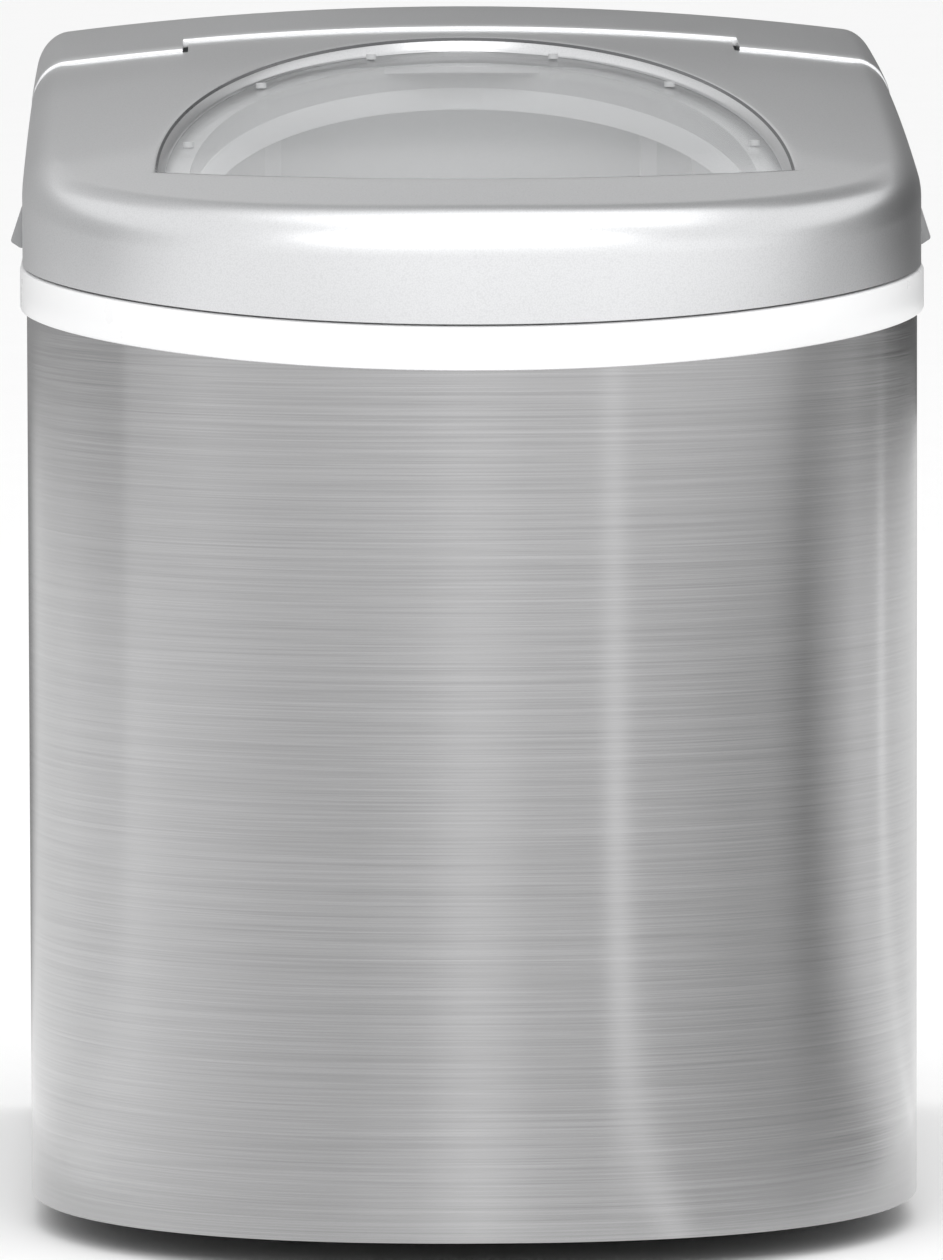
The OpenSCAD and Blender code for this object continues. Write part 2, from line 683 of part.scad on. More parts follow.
module ice_basket() {
  color([0.82, 0.84, 0.85]) difference() {
    slab(basket_outline(0), basket_floor_z, basket_top_z);
    slab(basket_outline(basket_wall), basket_floor_z + basket_wall, basket_top_z + cut);
    span([-basket_hw - cut, basket_back_y - 12, basket_low_z],
      [basket_hw + cut, basket_back_y + cut, basket_top_z + cut]);
    for (i = [-5 : 5], j = [0 : basket_slots - 1])
      translate([i * 11 - 2, basket_front_y + basket_slot_y + j * basket_slot_pitch, basket_floor_z - cut])
        cube([4, basket_slot_l, basket_wall + 2 * cut]);
  }
}

scoop_r = 26;
scoop_t = 1.6;
scoop_handle_l = 20;
scoop_c = [-26, basket_front_y + 42, basket_floor_z + basket_wall + scoop_r + 0.4];
scoop_l = basket_back_y - basket_wall - 2.6 - scoop_handle_l - scoop_c[1];
module ice_scoop() {
  color([0.8, 0.83, 0.85]) translate(scoop_c) {
    difference() {
      rotate([-90, 0, 0]) cylinder(h = scoop_l, r = scoop_r);
      translate([0, -cut, 0]) rotate([-90, 0, 0]) cylinder(h = scoop_l - scoop_t + cut,
        r = scoop_r - scoop_t);
      span([-scoop_r - cut, -cut, -4], [scoop_r + cut, scoop_l + cut, scoop_r + cut]);
    }
    span([-7, scoop_l - scoop_t, -12], [7, scoop_l + scoop_handle_l, -7]);
  }
}

// ---------------------------------------------------------------- ice works
finger_span = (fingers - 1) * finger_pitch;
bar_hw = finger_span / 2 + finger_r + 2;
finger_clear = 3;
bar_bottom_z = tray_z - tray_r + finger_clear + finger_l;
bar_top_z = bar_bottom_z + 14;
tray_hw = bar_hw + 2 + tray_wall;
frame_z = bar_top_z + 5;
cheek_x = tray_hw + 5;
shovel_y = tray_y - tray_r - tray_wall - 5;
shovel_z = frame_z - 6;
shovel_pin_r = 2;

module evaporator_frame() {
  color("whitesmoke") difference() {
    union() {
      span([-cheek_x - 6, shovel_y - 5, frame_z], [cheek_x + 6, tub_back_y - tub_wall - fit, frame_z + 3]);
      for (s = [-1, 1]) span([s * (cheek_x + 2) - 2, shovel_y - 5, shovel_z - 5],
        [s * (cheek_x + 2) + 2, shovel_y + 5, frame_z + 1]);
      for (s = [-1, 1]) span([s * 44 - 5, tray_y - 5, bar_top_z], [s * 44 + 5, tray_y + 5, frame_z + 1]);
    }
    for (x = tube_xs) translate([x, tray_y, frame_z - cut]) cylinder(h = 6, r = tube_r + 1);
    for (s = [-1, 1]) translate([s * (cheek_x + 2) - 5, shovel_y, shovel_z]) rotate([0, 90, 0])
      cylinder(h = 10, r = shovel_pin_r + pin_gap);
  }
}

module evaporator_bar() {
  color([0.8, 0.5, 0.35]) span([-bar_hw, tray_y - 8, bar_bottom_z], [bar_hw, tray_y + 8, bar_top_z]);
}

module freezing_fingers() {
  color("silver") for (i = [0 : fingers - 1])
    translate([i * finger_pitch - finger_span / 2, tray_y, bar_bottom_z - finger_l]) {
    translate([0, 0, finger_r - 1]) cylinder(h = finger_l - finger_r + 1, r1 = finger_r - 0.5,
      r2 = finger_r);
    translate([0, 0, finger_r - 1]) sphere(r = finger_r - 0.5);
  }
}

stub_l = 8;
module water_tray() {
  color("white") {
    difference() {
      translate([-tray_hw, tray_y, tray_z]) rotate([0, 90, 0]) cylinder(h = 2 * tray_hw,
        r = tray_r + tray_wall);
      translate([-tray_hw + tray_wall, tray_y, tray_z]) rotate([0, 90, 0])
        cylinder(h = 2 * (tray_hw - tray_wall), r = tray_r);
      span([-tray_hw - cut, tray_y - tray_r - 4, tray_z],
        [tray_hw + cut, tray_y + tray_r + 4, tray_z + tray_r + 4]);
    }
    for (s = [-1, 1]) translate([s * (tray_hw + stub_l / 2 - 0.5) - stub_l / 2 - 0.5, tray_y, tray_z])
      rotate([0, 90, 0])
      cylinder(h = stub_l + 1, r = stub_r);
    for (s = [-1, 1]) translate([s * (tray_hw - tray_wall / 2) - tray_wall / 2, tray_y, tray_z])
      rotate([0, 90, 0])
      cylinder(h = tray_wall, r = stub_r + 2);
  }
}

// Plain bearing block for a tray stub, or the motor's nose.
module stub_block(x0, x1, hy, z0, z1) {
  difference() {
    span([min(x0, x1), tray_y - hy, z0], [max(x0, x1), tray_y + hy, z1]);
    translate([min(x0, x1) - cut, tray_y, tray_z]) rotate([0, 90, 0])
      cylinder(h = abs(x1 - x0) + 2 * cut, r = stub_r + pin_gap);
  }
}

motor_x0 = tray_hw + 1.5;
motor_x1 = tub_hw - tub_wall - fit;
module tray_motor() {
  color("darkslategray") stub_block(-motor_x0, -motor_x1, 18, tray_z - 16, frame_z - fit);
}
module tray_bearing() {
  color("white") stub_block(motor_x0, motor_x0 + 7, 7, tray_z - 7, frame_z);
}

module ice_shovel() {
  x = cheek_x - 0.7;
  color("white") {
    span([-x, shovel_y - 1, shovel_z - 36], [x, shovel_y + 1, shovel_z]);
    translate([-x, shovel_y, shovel_z]) rotate([0, 90, 0]) cylinder(h = 2 * x, r = shovel_pin_r + 1);
    translate([-cheek_x - 3.5, shovel_y, shovel_z]) rotate([0, 90, 0]) cylinder(h = 2 * cheek_x + 7,
      r = shovel_pin_r);
    for (i = [-2 : 2]) span([i * 24 - 1, shovel_y - 4, shovel_z - 34],
      [i * 24 + 1, shovel_y, shovel_z - 6]);
  }
}

sensor_y = max(shovel_y - 40, tub_front_y + tub_nose + 1);
module ice_level_sensors() {
  color([0.15, 0.15, 0.16]) mirrored()
    span([tub_hw - tub_wall - 4, sensor_y, deck_z - 13], [tub_hw - tub_wall, sensor_y + 12, deck_z - 3]);
}

// ---------------------------------------------------------------- water
float_x = -50;
float_y = tub_front_y + 120;
float_travel = 12;
stem_top_z = basket_floor_z - 6;
module float_stem() {
  color("white") {
    translate([float_x, float_y, tub_bottom_z + tub_wall])
      cylinder(h = stem_top_z - tub_bottom_z - tub_wall, r = 3);
    translate([float_x, float_y, tub_bottom_z + tub_wall]) cylinder(h = 2, r = 7);
    translate([float_x, float_y, stem_top_z - 2]) cylinder(h = 2, r = 5);
  }
}
module water_float() {
  color("orange") translate([float_x, float_y, tub_bottom_z + tub_wall + 2.3]) difference() {
    cylinder(h = 14, r = 10);
    translate([0, 0, -cut]) cylinder(h = 16, r = 3.5);
  }
}

pump_h = 30;
pump_top_z = tub_bottom_z - 16;
volute_h = 14;
module water_pump() {
  color("black") translate([pump_x, pump_y, pump_top_z - pump_h]) {
    cylinder(h = pump_h - 0.2, r = pump_r);
    translate([0, 0, pump_h - 0.3]) cylinder(h = 4.2, r = 1.5);
    translate([-pump_r - 4, -3, -(pump_top_z - pump_h - base_z - pan_t)])
      cube([2 * pump_r + 8, 6, pump_top_z - pump_h - base_z - pan_t + 3]);
  }
}
module pump_cover() {
  color("white") translate([pump_x, pump_y, pump_top_z]) {
    difference() {
      cylinder(h = volute_h, r = pump_r);
      translate([0, 0, -cut]) cylinder(h = volute_h - 2 + cut, r = pump_r - 2);
      cylinder(h = volute_h + cut, r = 3.5);
    }
    translate([0, 0, volute_h - 0.1]) difference() {
      cylinder(h = tub_bottom_z + tub_wall + 3 - pump_top_z - volute_h, r = 6);
      translate([0, 0, -cut]) cylinder(h = 40, r = 3.5);
    }
  }
}
module pump_impeller() {
  color("white") translate([pump_x, pump_y, pump_top_z + 0.6]) difference() {
    union() {
      cylinder(h = 2, r = pump_r - 4);
      cylinder(h = 6, r = 4);
      for (a = [0 : 60 : 300]) rotate(a) translate([3, -0.8, 1]) cube([pump_r - 8, 1.6, 6]);
    }
    translate([0, 0, -cut]) cylinder(h = 5, r = 1.5 + pin_gap);
  }
}

hose_side_x = in_hw - hose_small_r - 1;
module water_hose() {
  z0 = pump_top_z + 6;
  color([0.85, 0.87, 0.88]) pipe([[pump_x + pump_r, pump_y, z0], [hose_side_x, pump_y, z0],
    [hose_side_x, pump_y, z0 + 20],
    [hose_side_x, hose_in[1], hose_in[2] - 14], [hose_side_x, hose_in[1], hose_in[2]],
    [motor_x0 + 12, hose_in[1], hose_in[2]]], hose_small_r);
}

// ---------------------------------------------------------------- machinery
side_gap = 14;
mid_gap = 16;
comp_c = [-(in_hw - side_gap - comp_r), panel_y - sheet - comp_r - 6];
comp_z = base_z + pan_t + grommet_h;
module compressor() {
  color([0.12, 0.12, 0.13]) translate(at(comp_c, comp_z)) {
    rotate_extrude() polygon(concat([[0, 0]],
      [for (a = [0 : 10 : 90]) [comp_r - 14 + 14 * sin(a), 16 - 16 * cos(a)]],
      [for (a = [0 : 10 : 80]) [comp_r - 20 + 20 * cos(a), comp_h - 22 + 22 * sin(a)]], [[0, comp_h]]));
    translate([0, 0, comp_h * 0.45]) cylinder(h = 4, r = comp_r + 1);
    for (a = comp_feet) rotate(a) span([comp_r - 20, -7, 0], [comp_r + 3, 7, 3]);
  }
}
module compressor_grommets() {
  color([0.2, 0.2, 0.2]) for (a = comp_feet) translate(at(comp_c, base_z + pan_t)) rotate(a)
    translate([comp_r - 4, 0, 0]) cylinder(h = grommet_h, r1 = 8, r2 = 6);
}
module terminal_cover() {
  color("black") translate(at(comp_c, comp_z)) difference() {
    span([-14, -comp_r - 5, 64], [14, -comp_r + 6, 94]);
    cylinder(h = comp_h, r = comp_r + 1);
  }
}

cond_x0 = comp_c[0] + comp_r + mid_gap;
cond_x1 = in_hw - side_gap;
cond_s = cond_x1 - cond_x0;
cond_c = [(cond_x0 + cond_x1) / 2, 0, base_z + pan_t + 4 + cond_s / 2];
cond_y1 = panel_y - sheet - 8;
cond_y0 = cond_y1 - 18;
fin_n = floor((cond_s - 6) / fin_pitch);
module condenser() {
  z0 = cond_c[2] - cond_s / 2;
  first_x = cond_c[0] - (fin_n - 1) * fin_pitch / 2;
  color([0.7, 0.71, 0.72]) {
    for (i = [0 : fin_n - 1]) span([first_x + i * fin_pitch - 0.3, cond_y0, z0],
      [first_x + i * fin_pitch + 0.3, cond_y1, z0 + cond_s]);
    for (k = [0 : 3]) rod([cond_x0 + 2, (cond_y0 + cond_y1) / 2, z0 + cond_s * (k + 0.5) / 4],
      [cond_x1 - 2, (cond_y0 + cond_y1) / 2, z0 + cond_s * (k + 0.5) / 4], tube_r);
  }
}

shroud_y1 = cond_y0 - 1;
shroud_y0 = shroud_y1 - 24;
fan_r = cond_s / 2 - 5;
shaft_r = 2;
module fan_shroud() {
  color([0.2, 0.2, 0.21]) translate([cond_c[0], 0, cond_c[2]]) difference() {
    span([-cond_s / 2, shroud_y0, -cond_s / 2], [cond_s / 2, shroud_y1, cond_s / 2]);
    translate([0, shroud_y0 + 3, 0]) rotate([-90, 0, 0]) cylinder(h = 24, r = fan_r);
    translate([0, shroud_y0 - cut, 0]) rotate([-90, 0, 0]) cylinder(h = 6, r = shaft_r + fit);
    for (q = [0 : 90 : 270]) rotate([0, q, 0]) translate([0, shroud_y0 - cut, 0]) rotate([-90, 0, 0])
      linear_extrude(3 + 2 * cut) polygon([for (i = [0 : 6]) let (a = 8 + i * 74 / 6) (fan_r - 2)
        * [cos(a), sin(a)],
        [15 * cos(80), 15 * sin(80)], [15 * cos(10), 15 * sin(10)]]);
  }
}
motor_r = 13;
fan_y0 = shroud_y0 + 6;
module fan_motor() {
  color("dimgray") translate([cond_c[0], 0, cond_c[2]]) {
    translate([0, shroud_y0 - 18, 0]) rotate([-90, 0, 0]) cylinder(h = 18, r = motor_r);
    translate([0, shroud_y0 - 1, 0]) rotate([-90, 0, 0]) cylinder(h = 19, r = shaft_r);
  }
}
module fan_wheel() {
  color([0.25, 0.25, 0.26]) translate([cond_c[0], fan_y0, cond_c[2]]) rotate([-90, 0, 0]) difference() {
    union() {
      cylinder(h = 12, r = 12);
      for (i = [0 : fan_blades - 1]) rotate(i * 360 / fan_blades) translate([10, 0, 6]) rotate([32, 0, 0])
        span([0, -9, -0.8], [fan_r - fan_gap - 11, 9, 0.8]);
    }
    translate([0, 0, -cut]) cylinder(h = 14, r = shaft_r + pin_gap);
  }
}

drier_x = cond_x0 - 8;
drier_y = tub_back_y + foam_t + 16;
module filter_drier() {
  color([0.8, 0.5, 0.35]) translate([drier_x, drier_y, tub_bottom_z + 46]) rotate_extrude()
    polygon([[0, -10], [2, -10], [2, -2], [9, 6], [9, 64], [2, 72], [2, 82], [0, 82]]);
}
valve_x = cond_c[0];
module hot_gas_valve() {
  color([0.3, 0.3, 0.55]) translate([valve_x, drier_y + 4, tub_bottom_z + 70]) {
    span([-12, -10, 0], [12, 10, 22]);
    translate([0, 0, -18]) cylinder(h = 19, r = 5);
  }
}
module suction_tube() {
  color([0.8, 0.5, 0.35]) pipe([[tube_xs[0], tray_y, bar_top_z], [tube_xs[0], tray_y, tube_z],
    [tube_xs[0], tub_back_y + 20, tube_z],
    [comp_c[0], comp_c[1] - 12, comp_z + comp_h + 30],
      [comp_c[0], comp_c[1] - 12, comp_z + comp_h - 0.1]], tube_r);
}
module discharge_tube() {
  color([0.8, 0.5, 0.35]) pipe([[tube_xs[1], tray_y, bar_top_z], [tube_xs[1], tray_y, tube_z],
    [tube_xs[1], tub_back_y + 20, tube_z],
    [valve_x, drier_y + 4, tube_z - 8], [valve_x, drier_y + 4, tub_bottom_z + 91.9]], tube_r);
}
module control_board() {
  y = panel_y - 2 * sheet - 4;
  z = cond_c[2] + cond_s / 2 + 16;
  color("darkgreen") {
    span([cond_x0, y - 1.6, z], [cond_x1, y, z + 76]);
    span([cond_x0 + 6, y - 18, z + 8], [cond_x0 + 24, y - 1.5, z + 32]);
    span([cond_x1 - 30, y - 26, z + 30], [cond_x1 - 6, y - 1.5, z + 62]);
    for (p = [[cond_x0 + 4, z + 4], [cond_x1 - 4, z + 4], [cond_x0 + 4, z + 72], [cond_x1 - 4, z + 72]])
      translate([p[0], y - 0.1, p[1]]) rotate([-90, 0, 0]) cylinder(h = panel_y - 2 * sheet - y + 0.1,
        r = 2);
  }
}

// ---------------------------------------------------------------- drain and rear panel
drain_x = (comp_c[0] + comp_r + cond_x0) / 2 + 1;
drain_z = base_z + pan_rim_h + 14;
fitting_y0 = panel_y - 20;
fitting_y1 = panel_y - 4;
fitting_bore_r = 5;
module drain_hose() {
  color([0.85, 0.87, 0.88]) pipe([[tub_drain[0], tub_drain[1], tub_bottom_z],
    [tub_drain[0], tub_drain[1], drain_z + 20],
    [drain_x, tub_drain[1] + 20, drain_z], [drain_x, fitting_y0, drain_z]], hose_r);
}
module drain_fitting() {
  color("white") translate([drain_x, fitting_y0, drain_z]) rotate([-90, 0, 0]) difference() {
    union() {
      cylinder(h = fitting_y1 - fitting_y0, r = 7);
      translate([0, 0, fitting_y1 - fitting_y0 - 2]) cylinder(h = 2, r = 12);
    }
    translate([0, 0, 3]) cylinder(h = 30, r = fitting_bore_r);
  }
}
cap_travel = 25;
module drain_cap() {
  color("black") translate([drain_x, fitting_y1, drain_z]) rotate([-90, 0, 0]) {
    translate([0, 0, -10]) cylinder(h = 10.1, r = fitting_bore_r - 0.05);
    translate([0, 0, 0.1]) cylinder(h = 5, r = 10);
    translate([0, 0, 4]) span([-8, -1.5, 0], [8, 1.5, 4]);
  }
}
gland_x = comp_c[0] - comp_r + 14;
gland_r = 6;
module cord_gland() {
  color("black") translate([gland_x, panel_y - 8, drain_z]) rotate([-90, 0, 0]) difference() {
    union() {
      cylinder(h = 12, r = gland_r);
      translate([0, 0, 8.05]) cylinder(h = 3, r = gland_r + 3);
    }
    translate([0, 0, -cut]) cylinder(h = 16, r = 3.5);
  }
}

panel_hx = wrap_hw - sheet - fit - 0.5;
panel_z0 = base_z + 1;
panel_z1 = band_high([0, back_y]) - wall - fit;
panel_screw_x = wrap_hw - flange_l / 2;
panel_screws = [for (s = [-1, 1], z = [base_z + pan_rim_h + 8, (panel_z0 + panel_z1) / 2,
  panel_z1 - 16]) [s * panel_screw_x, z]];
slot_h = 3;
slot_pitch = 8;
module slot_block(x, z, w, n) {
  for (i = [0 : n - 1]) span([x - w / 2, panel_y - 3 * sheet, z + i * slot_pitch],
    [x + w / 2, panel_y + cut, z + i * slot_pitch + slot_h]);
}
module rear_panel() {
  y1 = panel_y - sheet;
  slots_w = cond_s - 14;
  color([0.75, 0.76, 0.77]) difference() {
    span([-panel_hx, y1 - sheet, panel_z0], [panel_hx, y1, panel_z1]);
    slot_block(cond_c[0], cond_c[2] - slot_pitch * 4.5, slots_w, 10);
    slot_block(comp_c[0], cond_c[2] + 70, slots_w, 8);
    translate([drain_x, y1 - 3, drain_z]) rotate([-90, 0, 0]) cylinder(h = 8, r = 12.5);
    translate([gland_x, y1 - 3, drain_z]) rotate([-90, 0, 0]) cylinder(h = 8, r = gland_r + 0.1);
    for (s = panel_screws) translate([s[0], y1 - 3, s[1]]) rotate([-90, 0, 0]) cylinder(h = 8, r = 1.6);
  }
}
module rear_panel_screws() {
  color("silver") for (s = panel_screws) translate([s[0], panel_y - 6, s[1]]) rotate([-90, 0, 0])
    screw(3, 1.6, 1.5, 6);
}

base_pan();
rubber_feet();
foot_screws();
outer_wrap();
rear_panel();
rear_panel_screws();
upper_housing();
inner_tub();
tub_foam();
rear_deck();
hinge_brackets();
hinge_pins();
control_panel();
power_button();
select_button();
indicator_lenses();
button_board();
lid_cover();
lid_finger_grips();
lid_window();
window_tabs();
lid_liner();
liner_screws();
lid_hinge_arms();
ice_basket();
ice_scoop();
evaporator_frame();
evaporator_bar();
freezing_fingers();
water_tray();
tray_motor();
tray_bearing();
ice_shovel();
ice_level_sensors();
float_stem();
water_float();
water_pump();
pump_cover();
pump_impeller();
water_hose();
compressor();
compressor_grommets();
terminal_cover();
condenser();
fan_shroud();
fan_motor();
fan_wheel();
filter_drier();
hot_gas_valve();
suction_tube();
discharge_tube();
control_board();
drain_hose();
drain_fitting();
drain_cap();
cord_gland();
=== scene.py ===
"""Looks of the countertop ice maker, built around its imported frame. All lengths are in metres."""
import json
import math

import bpy
import numpy as np
from mathutils import Matrix, Vector


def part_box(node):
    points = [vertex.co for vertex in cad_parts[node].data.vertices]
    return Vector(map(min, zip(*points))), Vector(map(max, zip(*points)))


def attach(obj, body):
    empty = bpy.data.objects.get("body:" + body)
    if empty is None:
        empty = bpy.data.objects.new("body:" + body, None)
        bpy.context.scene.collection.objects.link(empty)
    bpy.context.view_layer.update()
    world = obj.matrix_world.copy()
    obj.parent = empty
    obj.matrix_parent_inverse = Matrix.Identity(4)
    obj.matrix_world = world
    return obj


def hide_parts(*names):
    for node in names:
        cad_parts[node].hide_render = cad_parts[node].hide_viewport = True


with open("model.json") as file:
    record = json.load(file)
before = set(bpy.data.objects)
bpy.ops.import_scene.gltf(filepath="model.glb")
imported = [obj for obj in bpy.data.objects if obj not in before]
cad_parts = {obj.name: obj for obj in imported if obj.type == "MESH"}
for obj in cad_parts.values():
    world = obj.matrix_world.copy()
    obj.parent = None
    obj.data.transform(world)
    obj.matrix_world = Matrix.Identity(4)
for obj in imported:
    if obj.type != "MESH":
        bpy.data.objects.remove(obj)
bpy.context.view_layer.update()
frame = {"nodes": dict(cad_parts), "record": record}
MM = 0.001

# ------------------------------------------------------------------ sizes, from the frame
band_low_box, band_high_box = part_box("upper_housing")
lid_high_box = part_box("lid_cover")[1]
wrap_low_box, wrap_high_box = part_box("outer_wrap")
BAND_HW = band_high_box.x
FRONT = band_low_box.y
BACK = band_high_box.y
BAND_Z = band_low_box.z
DECK_Z = band_high_box.z
LID_HW = lid_high_box.x
LID_INSET = BAND_HW - LID_HW
WRAP_HW = wrap_high_box.x
BASE_Z = wrap_low_box.z
WRAP_BACK = wrap_high_box.y

# Shape values that the design uses.
NOSE = 120 * MM
NOSE_POWER = 2.3
BAND_H = 11.5 * MM
ARCH_R = 1064 * MM
BAND_SLOPE = 0.027
LEDGE_W = 4.5 * MM
WALL = 2.5 * MM
SHEET = 0.8 * MM
FLANGE_L = 14 * MM
CROWN_Z = BAND_Z + BAND_H + 29.1 * MM
TOP_SLOPE = 0.19
TOP_R = 2380 * MM
CROWN_R = 900 * MM
EDGE_W = 9 * MM
EDGE_H = 11 * MM
LID_BACK = FRONT + 262.5 * MM
TONGUE_L = lid_high_box.y - LID_BACK
TONGUE_W = 153 * MM
LID_GAP = 1.5 * MM
WINDOW_HW = 84.5 * MM
WINDOW_FRONT = 40 * MM
WINDOW_LEN = 201.5 * MM
WINDOW_BOW = 27.5 * MM
WINDOW_DEEP = 3.8 * MM
WINDOW_T = 2 * MM
TUB_FLANGE = 4 * MM
tub_low_box, tub_high_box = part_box("inner_tub")
TUB_FRONT = tub_low_box.y + TUB_FLANGE
TUB_BACK = tub_high_box.y - TUB_FLANGE
TUB_HW = tub_high_box.x - TUB_FLANGE
TUB_R = 12 * MM

# How finely the curved shells are cut.
NOSE_N = 112
SIDE_N = 24
CORNER_N = 8
EDGE_N = 12
WINDOW_N = NOSE_N * 2 + 40


# ------------------------------------------------------------------ shape functions
def fall(distance, width, height):
    """Drop of a rounded edge of that width and height, at a distance inwards from its outer line."""
    share = np.clip(1 - np.asarray(distance) / width, 0, 1)
    return height * (1 - np.sqrt(1 - share * share))


def from_front(y):
    """Distance behind the front of the band."""
    return y - FRONT


def band_low(x, y):
    """Height of the white band's lower edge."""
    return BAND_Z + x * x / (2 * ARCH_R) + BAND_SLOPE * from_front(y)


def band_high(x, y):
    """Height of the white band's upper edge."""
    return band_low(x, y) + BAND_H


def top_z(x, y):
    """Height of the lid's top."""
    rise = TOP_SLOPE * from_front(y) - from_front(y) ** 2 / (2 * TOP_R)
    return CROWN_Z + rise - x * x / (2 * CROWN_R)


def nose(hw, front, depth, count=NOSE_N):
    """Rounded front, from its left end to its right end."""
    t = np.linspace(-math.pi / 2, math.pi / 2, count + 1)
    k = 2 / NOSE_POWER
    x = hw * np.sign(np.sin(t)) * np.abs(np.sin(t)) ** k
    return np.column_stack([x, front + depth * (1 - np.clip(np.cos(t), 0, 1) ** k)])


def arc(cx, cy, r, start, end, count=CORNER_N):
    """Points on an arc between two angles in degrees."""
    a = np.radians(np.linspace(start, end, count + 1))
    return np.column_stack([cx + r * np.cos(a), cy + r * np.sin(a)])


def line(a, b, count):
    """Points after a, up to and with b."""
    s = np.linspace(0, 1, count + 1)[1:, None]
    return (1 - s) * np.array(a) + s * np.array(b)


def outline(hw, front, back, depth, r):
    """The body's outline seen from above, counterclockwise from the left end of the rounded front."""
    return np.vstack([
        nose(hw, front, depth),
        line((hw, front + depth), (hw, back - r), SIDE_N),
        arc(hw - r, back - r, r, 0, 90)[1:],
        line((hw - r, back), (r - hw, back), SIDE_N),
        arc(r - hw, back - r, r, 90, 180)[1:],
        line((-hw, back - r), (-hw, front + depth), SIDE_N)[:-1],
    ])


def body_outline(inset, r=4 * MM):
    """Outline of the band moved inwards."""
    return outline(BAND_HW - inset, FRONT + inset, BACK - inset, NOSE - inset, max(r - inset, MM))


def ring(points, height):
    """3-D ring: height is a number or a function of x and y."""
    z = height(points[:, 0], points[:, 1]) if callable(height) else np.full(len(points), height)
    return np.column_stack([points, z])


# ------------------------------------------------------------------ meshes
def make_mesh(name, points, faces, sharp=38):
    """Object from points and faces, outward facing, smooth but for edges over the sharp angle."""
    data = bpy.data.meshes.new(name)
    data.from_pydata([tuple(p) for p in points], [], faces)
    data.validate()
    data.update()
    piece = bpy.data.objects.new(name, data)
    bpy.context.scene.collection.objects.link(piece)
    data.shade_smooth()
    data.set_sharp_from_angle(angle=math.radians(sharp))
    return piece


def loft(name, rings, loop=False, closed=True, caps=True, sharp=38):
    """Skin over rings of equal length. loop joins the last ring to the first."""
    count, size = len(rings), len(rings[0])
    faces = []
    for k in range(count if loop else count - 1):
        for i in range(size if closed else size - 1):
            a, b = k * size + i, k * size + (i + 1) % size
            c, d = ((k + 1) % count) * size + (i + 1) % size, ((k + 1) % count) * size + i
            faces.append((a, b, c, d))
    if not loop and caps:
        faces.append(tuple(range(size - 1, -1, -1)))
        faces.append(tuple((count - 1) * size + i for i in range(size)))
    return make_mesh(name, np.vstack(rings), faces, sharp)


def place(piece, material, body, slot, *nodes):
    """Finishes a piece: its material, the body that it rides on and the nodes it stands for. The slot
    argument is not used.
    """
    piece.data.materials.clear()
    piece.data.materials.append(material)
    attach(piece, body)
    if nodes:
        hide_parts(*nodes)
    return piece


def apply_modifiers(piece):
    """Bakes a piece's modifiers into its mesh."""
    graph = bpy.context.evaluated_depsgraph_get()
    data = bpy.data.meshes.new_from_object(piece.evaluated_get(graph))
    piece.modifiers.clear()
    piece.data = data


# ------------------------------------------------------------------ material helpers
def new_material(name):
    """New node material, with its node tree and its shader."""
    material = bpy.data.materials.new(name)
    material.use_nodes = True
    return material, material.node_tree, material.node_tree.nodes["Principled BSDF"]


def add(tree, kind, settings=None, **inputs):
    """Adds a node. An input's value is a plain value or the output socket that feeds it."""
    node = tree.nodes.new(kind)
    for key, value in (settings or {}).items():
        setattr(node, key, value)
    for key, value in inputs.items():
        socket = node.inputs[key.replace("_", " ")]
        if isinstance(value, bpy.types.NodeSocket):
            tree.links.new(value, socket)
        else:
            socket.default_value = value
    return node


def math_node(tree, operation, *values):
    """Result of a math node over plain values and sockets."""
    node = add(tree, "ShaderNodeMath", {"operation": operation})
    for socket, value in zip(node.inputs, values):
        if isinstance(value, bpy.types.NodeSocket):
            tree.links.new(value, socket)
        else:
            socket.default_value = value
    return node.outputs[0]


def object_space(tree, stretch=(1, 1, 1)):
    """Object coordinates, scaled along each axis."""
    where = add(tree, "ShaderNodeTexCoord").outputs["Object"]
    return add(tree, "ShaderNodeMapping", Vector=where, Scale=stretch).outputs["Vector"]


def noise(tree, space, scale, detail=4.0, rough=0.55):
    """Value of a noise texture."""
    node = add(tree, "ShaderNodeTexNoise", Vector=space, Scale=scale, Detail=detail, Roughness=rough)
    return node.outputs["Fac"]


def spread(tree, value, low, high, start=0.3, end=0.7):
    """Maps a noise value from start..end to low..high."""
    node = add(tree, "ShaderNodeMapRange", Value=value)
    node.inputs["From Min"].default_value = start
    node.inputs["From Max"].default_value = end
    node.inputs["To Min"].default_value = low
    node.inputs["To Max"].default_value = high
    return node.outputs["Result"]


def tinted(tree, value, dark, light):
    """Mixes two colours by a value."""
    node = add(tree, "ShaderNodeMix", {"data_type": "RGBA"})
    tree.links.new(value, node.inputs["Factor"])
    node.inputs[6].default_value = (*dark, 1)
    node.inputs[7].default_value = (*light, 1)
    return node.outputs[2]


def scaled(colour, factor):
    """Colour made darker or lighter, up to white."""
    return tuple(min(c * factor, 1.0) for c in colour)


def bump(tree, shader, height, distance, strength=1.0):
    """Feeds a height value into the shader as relief."""
    node = add(tree, "ShaderNodeBump", Height=height, Distance=distance, Strength=strength)
    tree.links.new(node.outputs["Normal"], shader.inputs["Normal"])


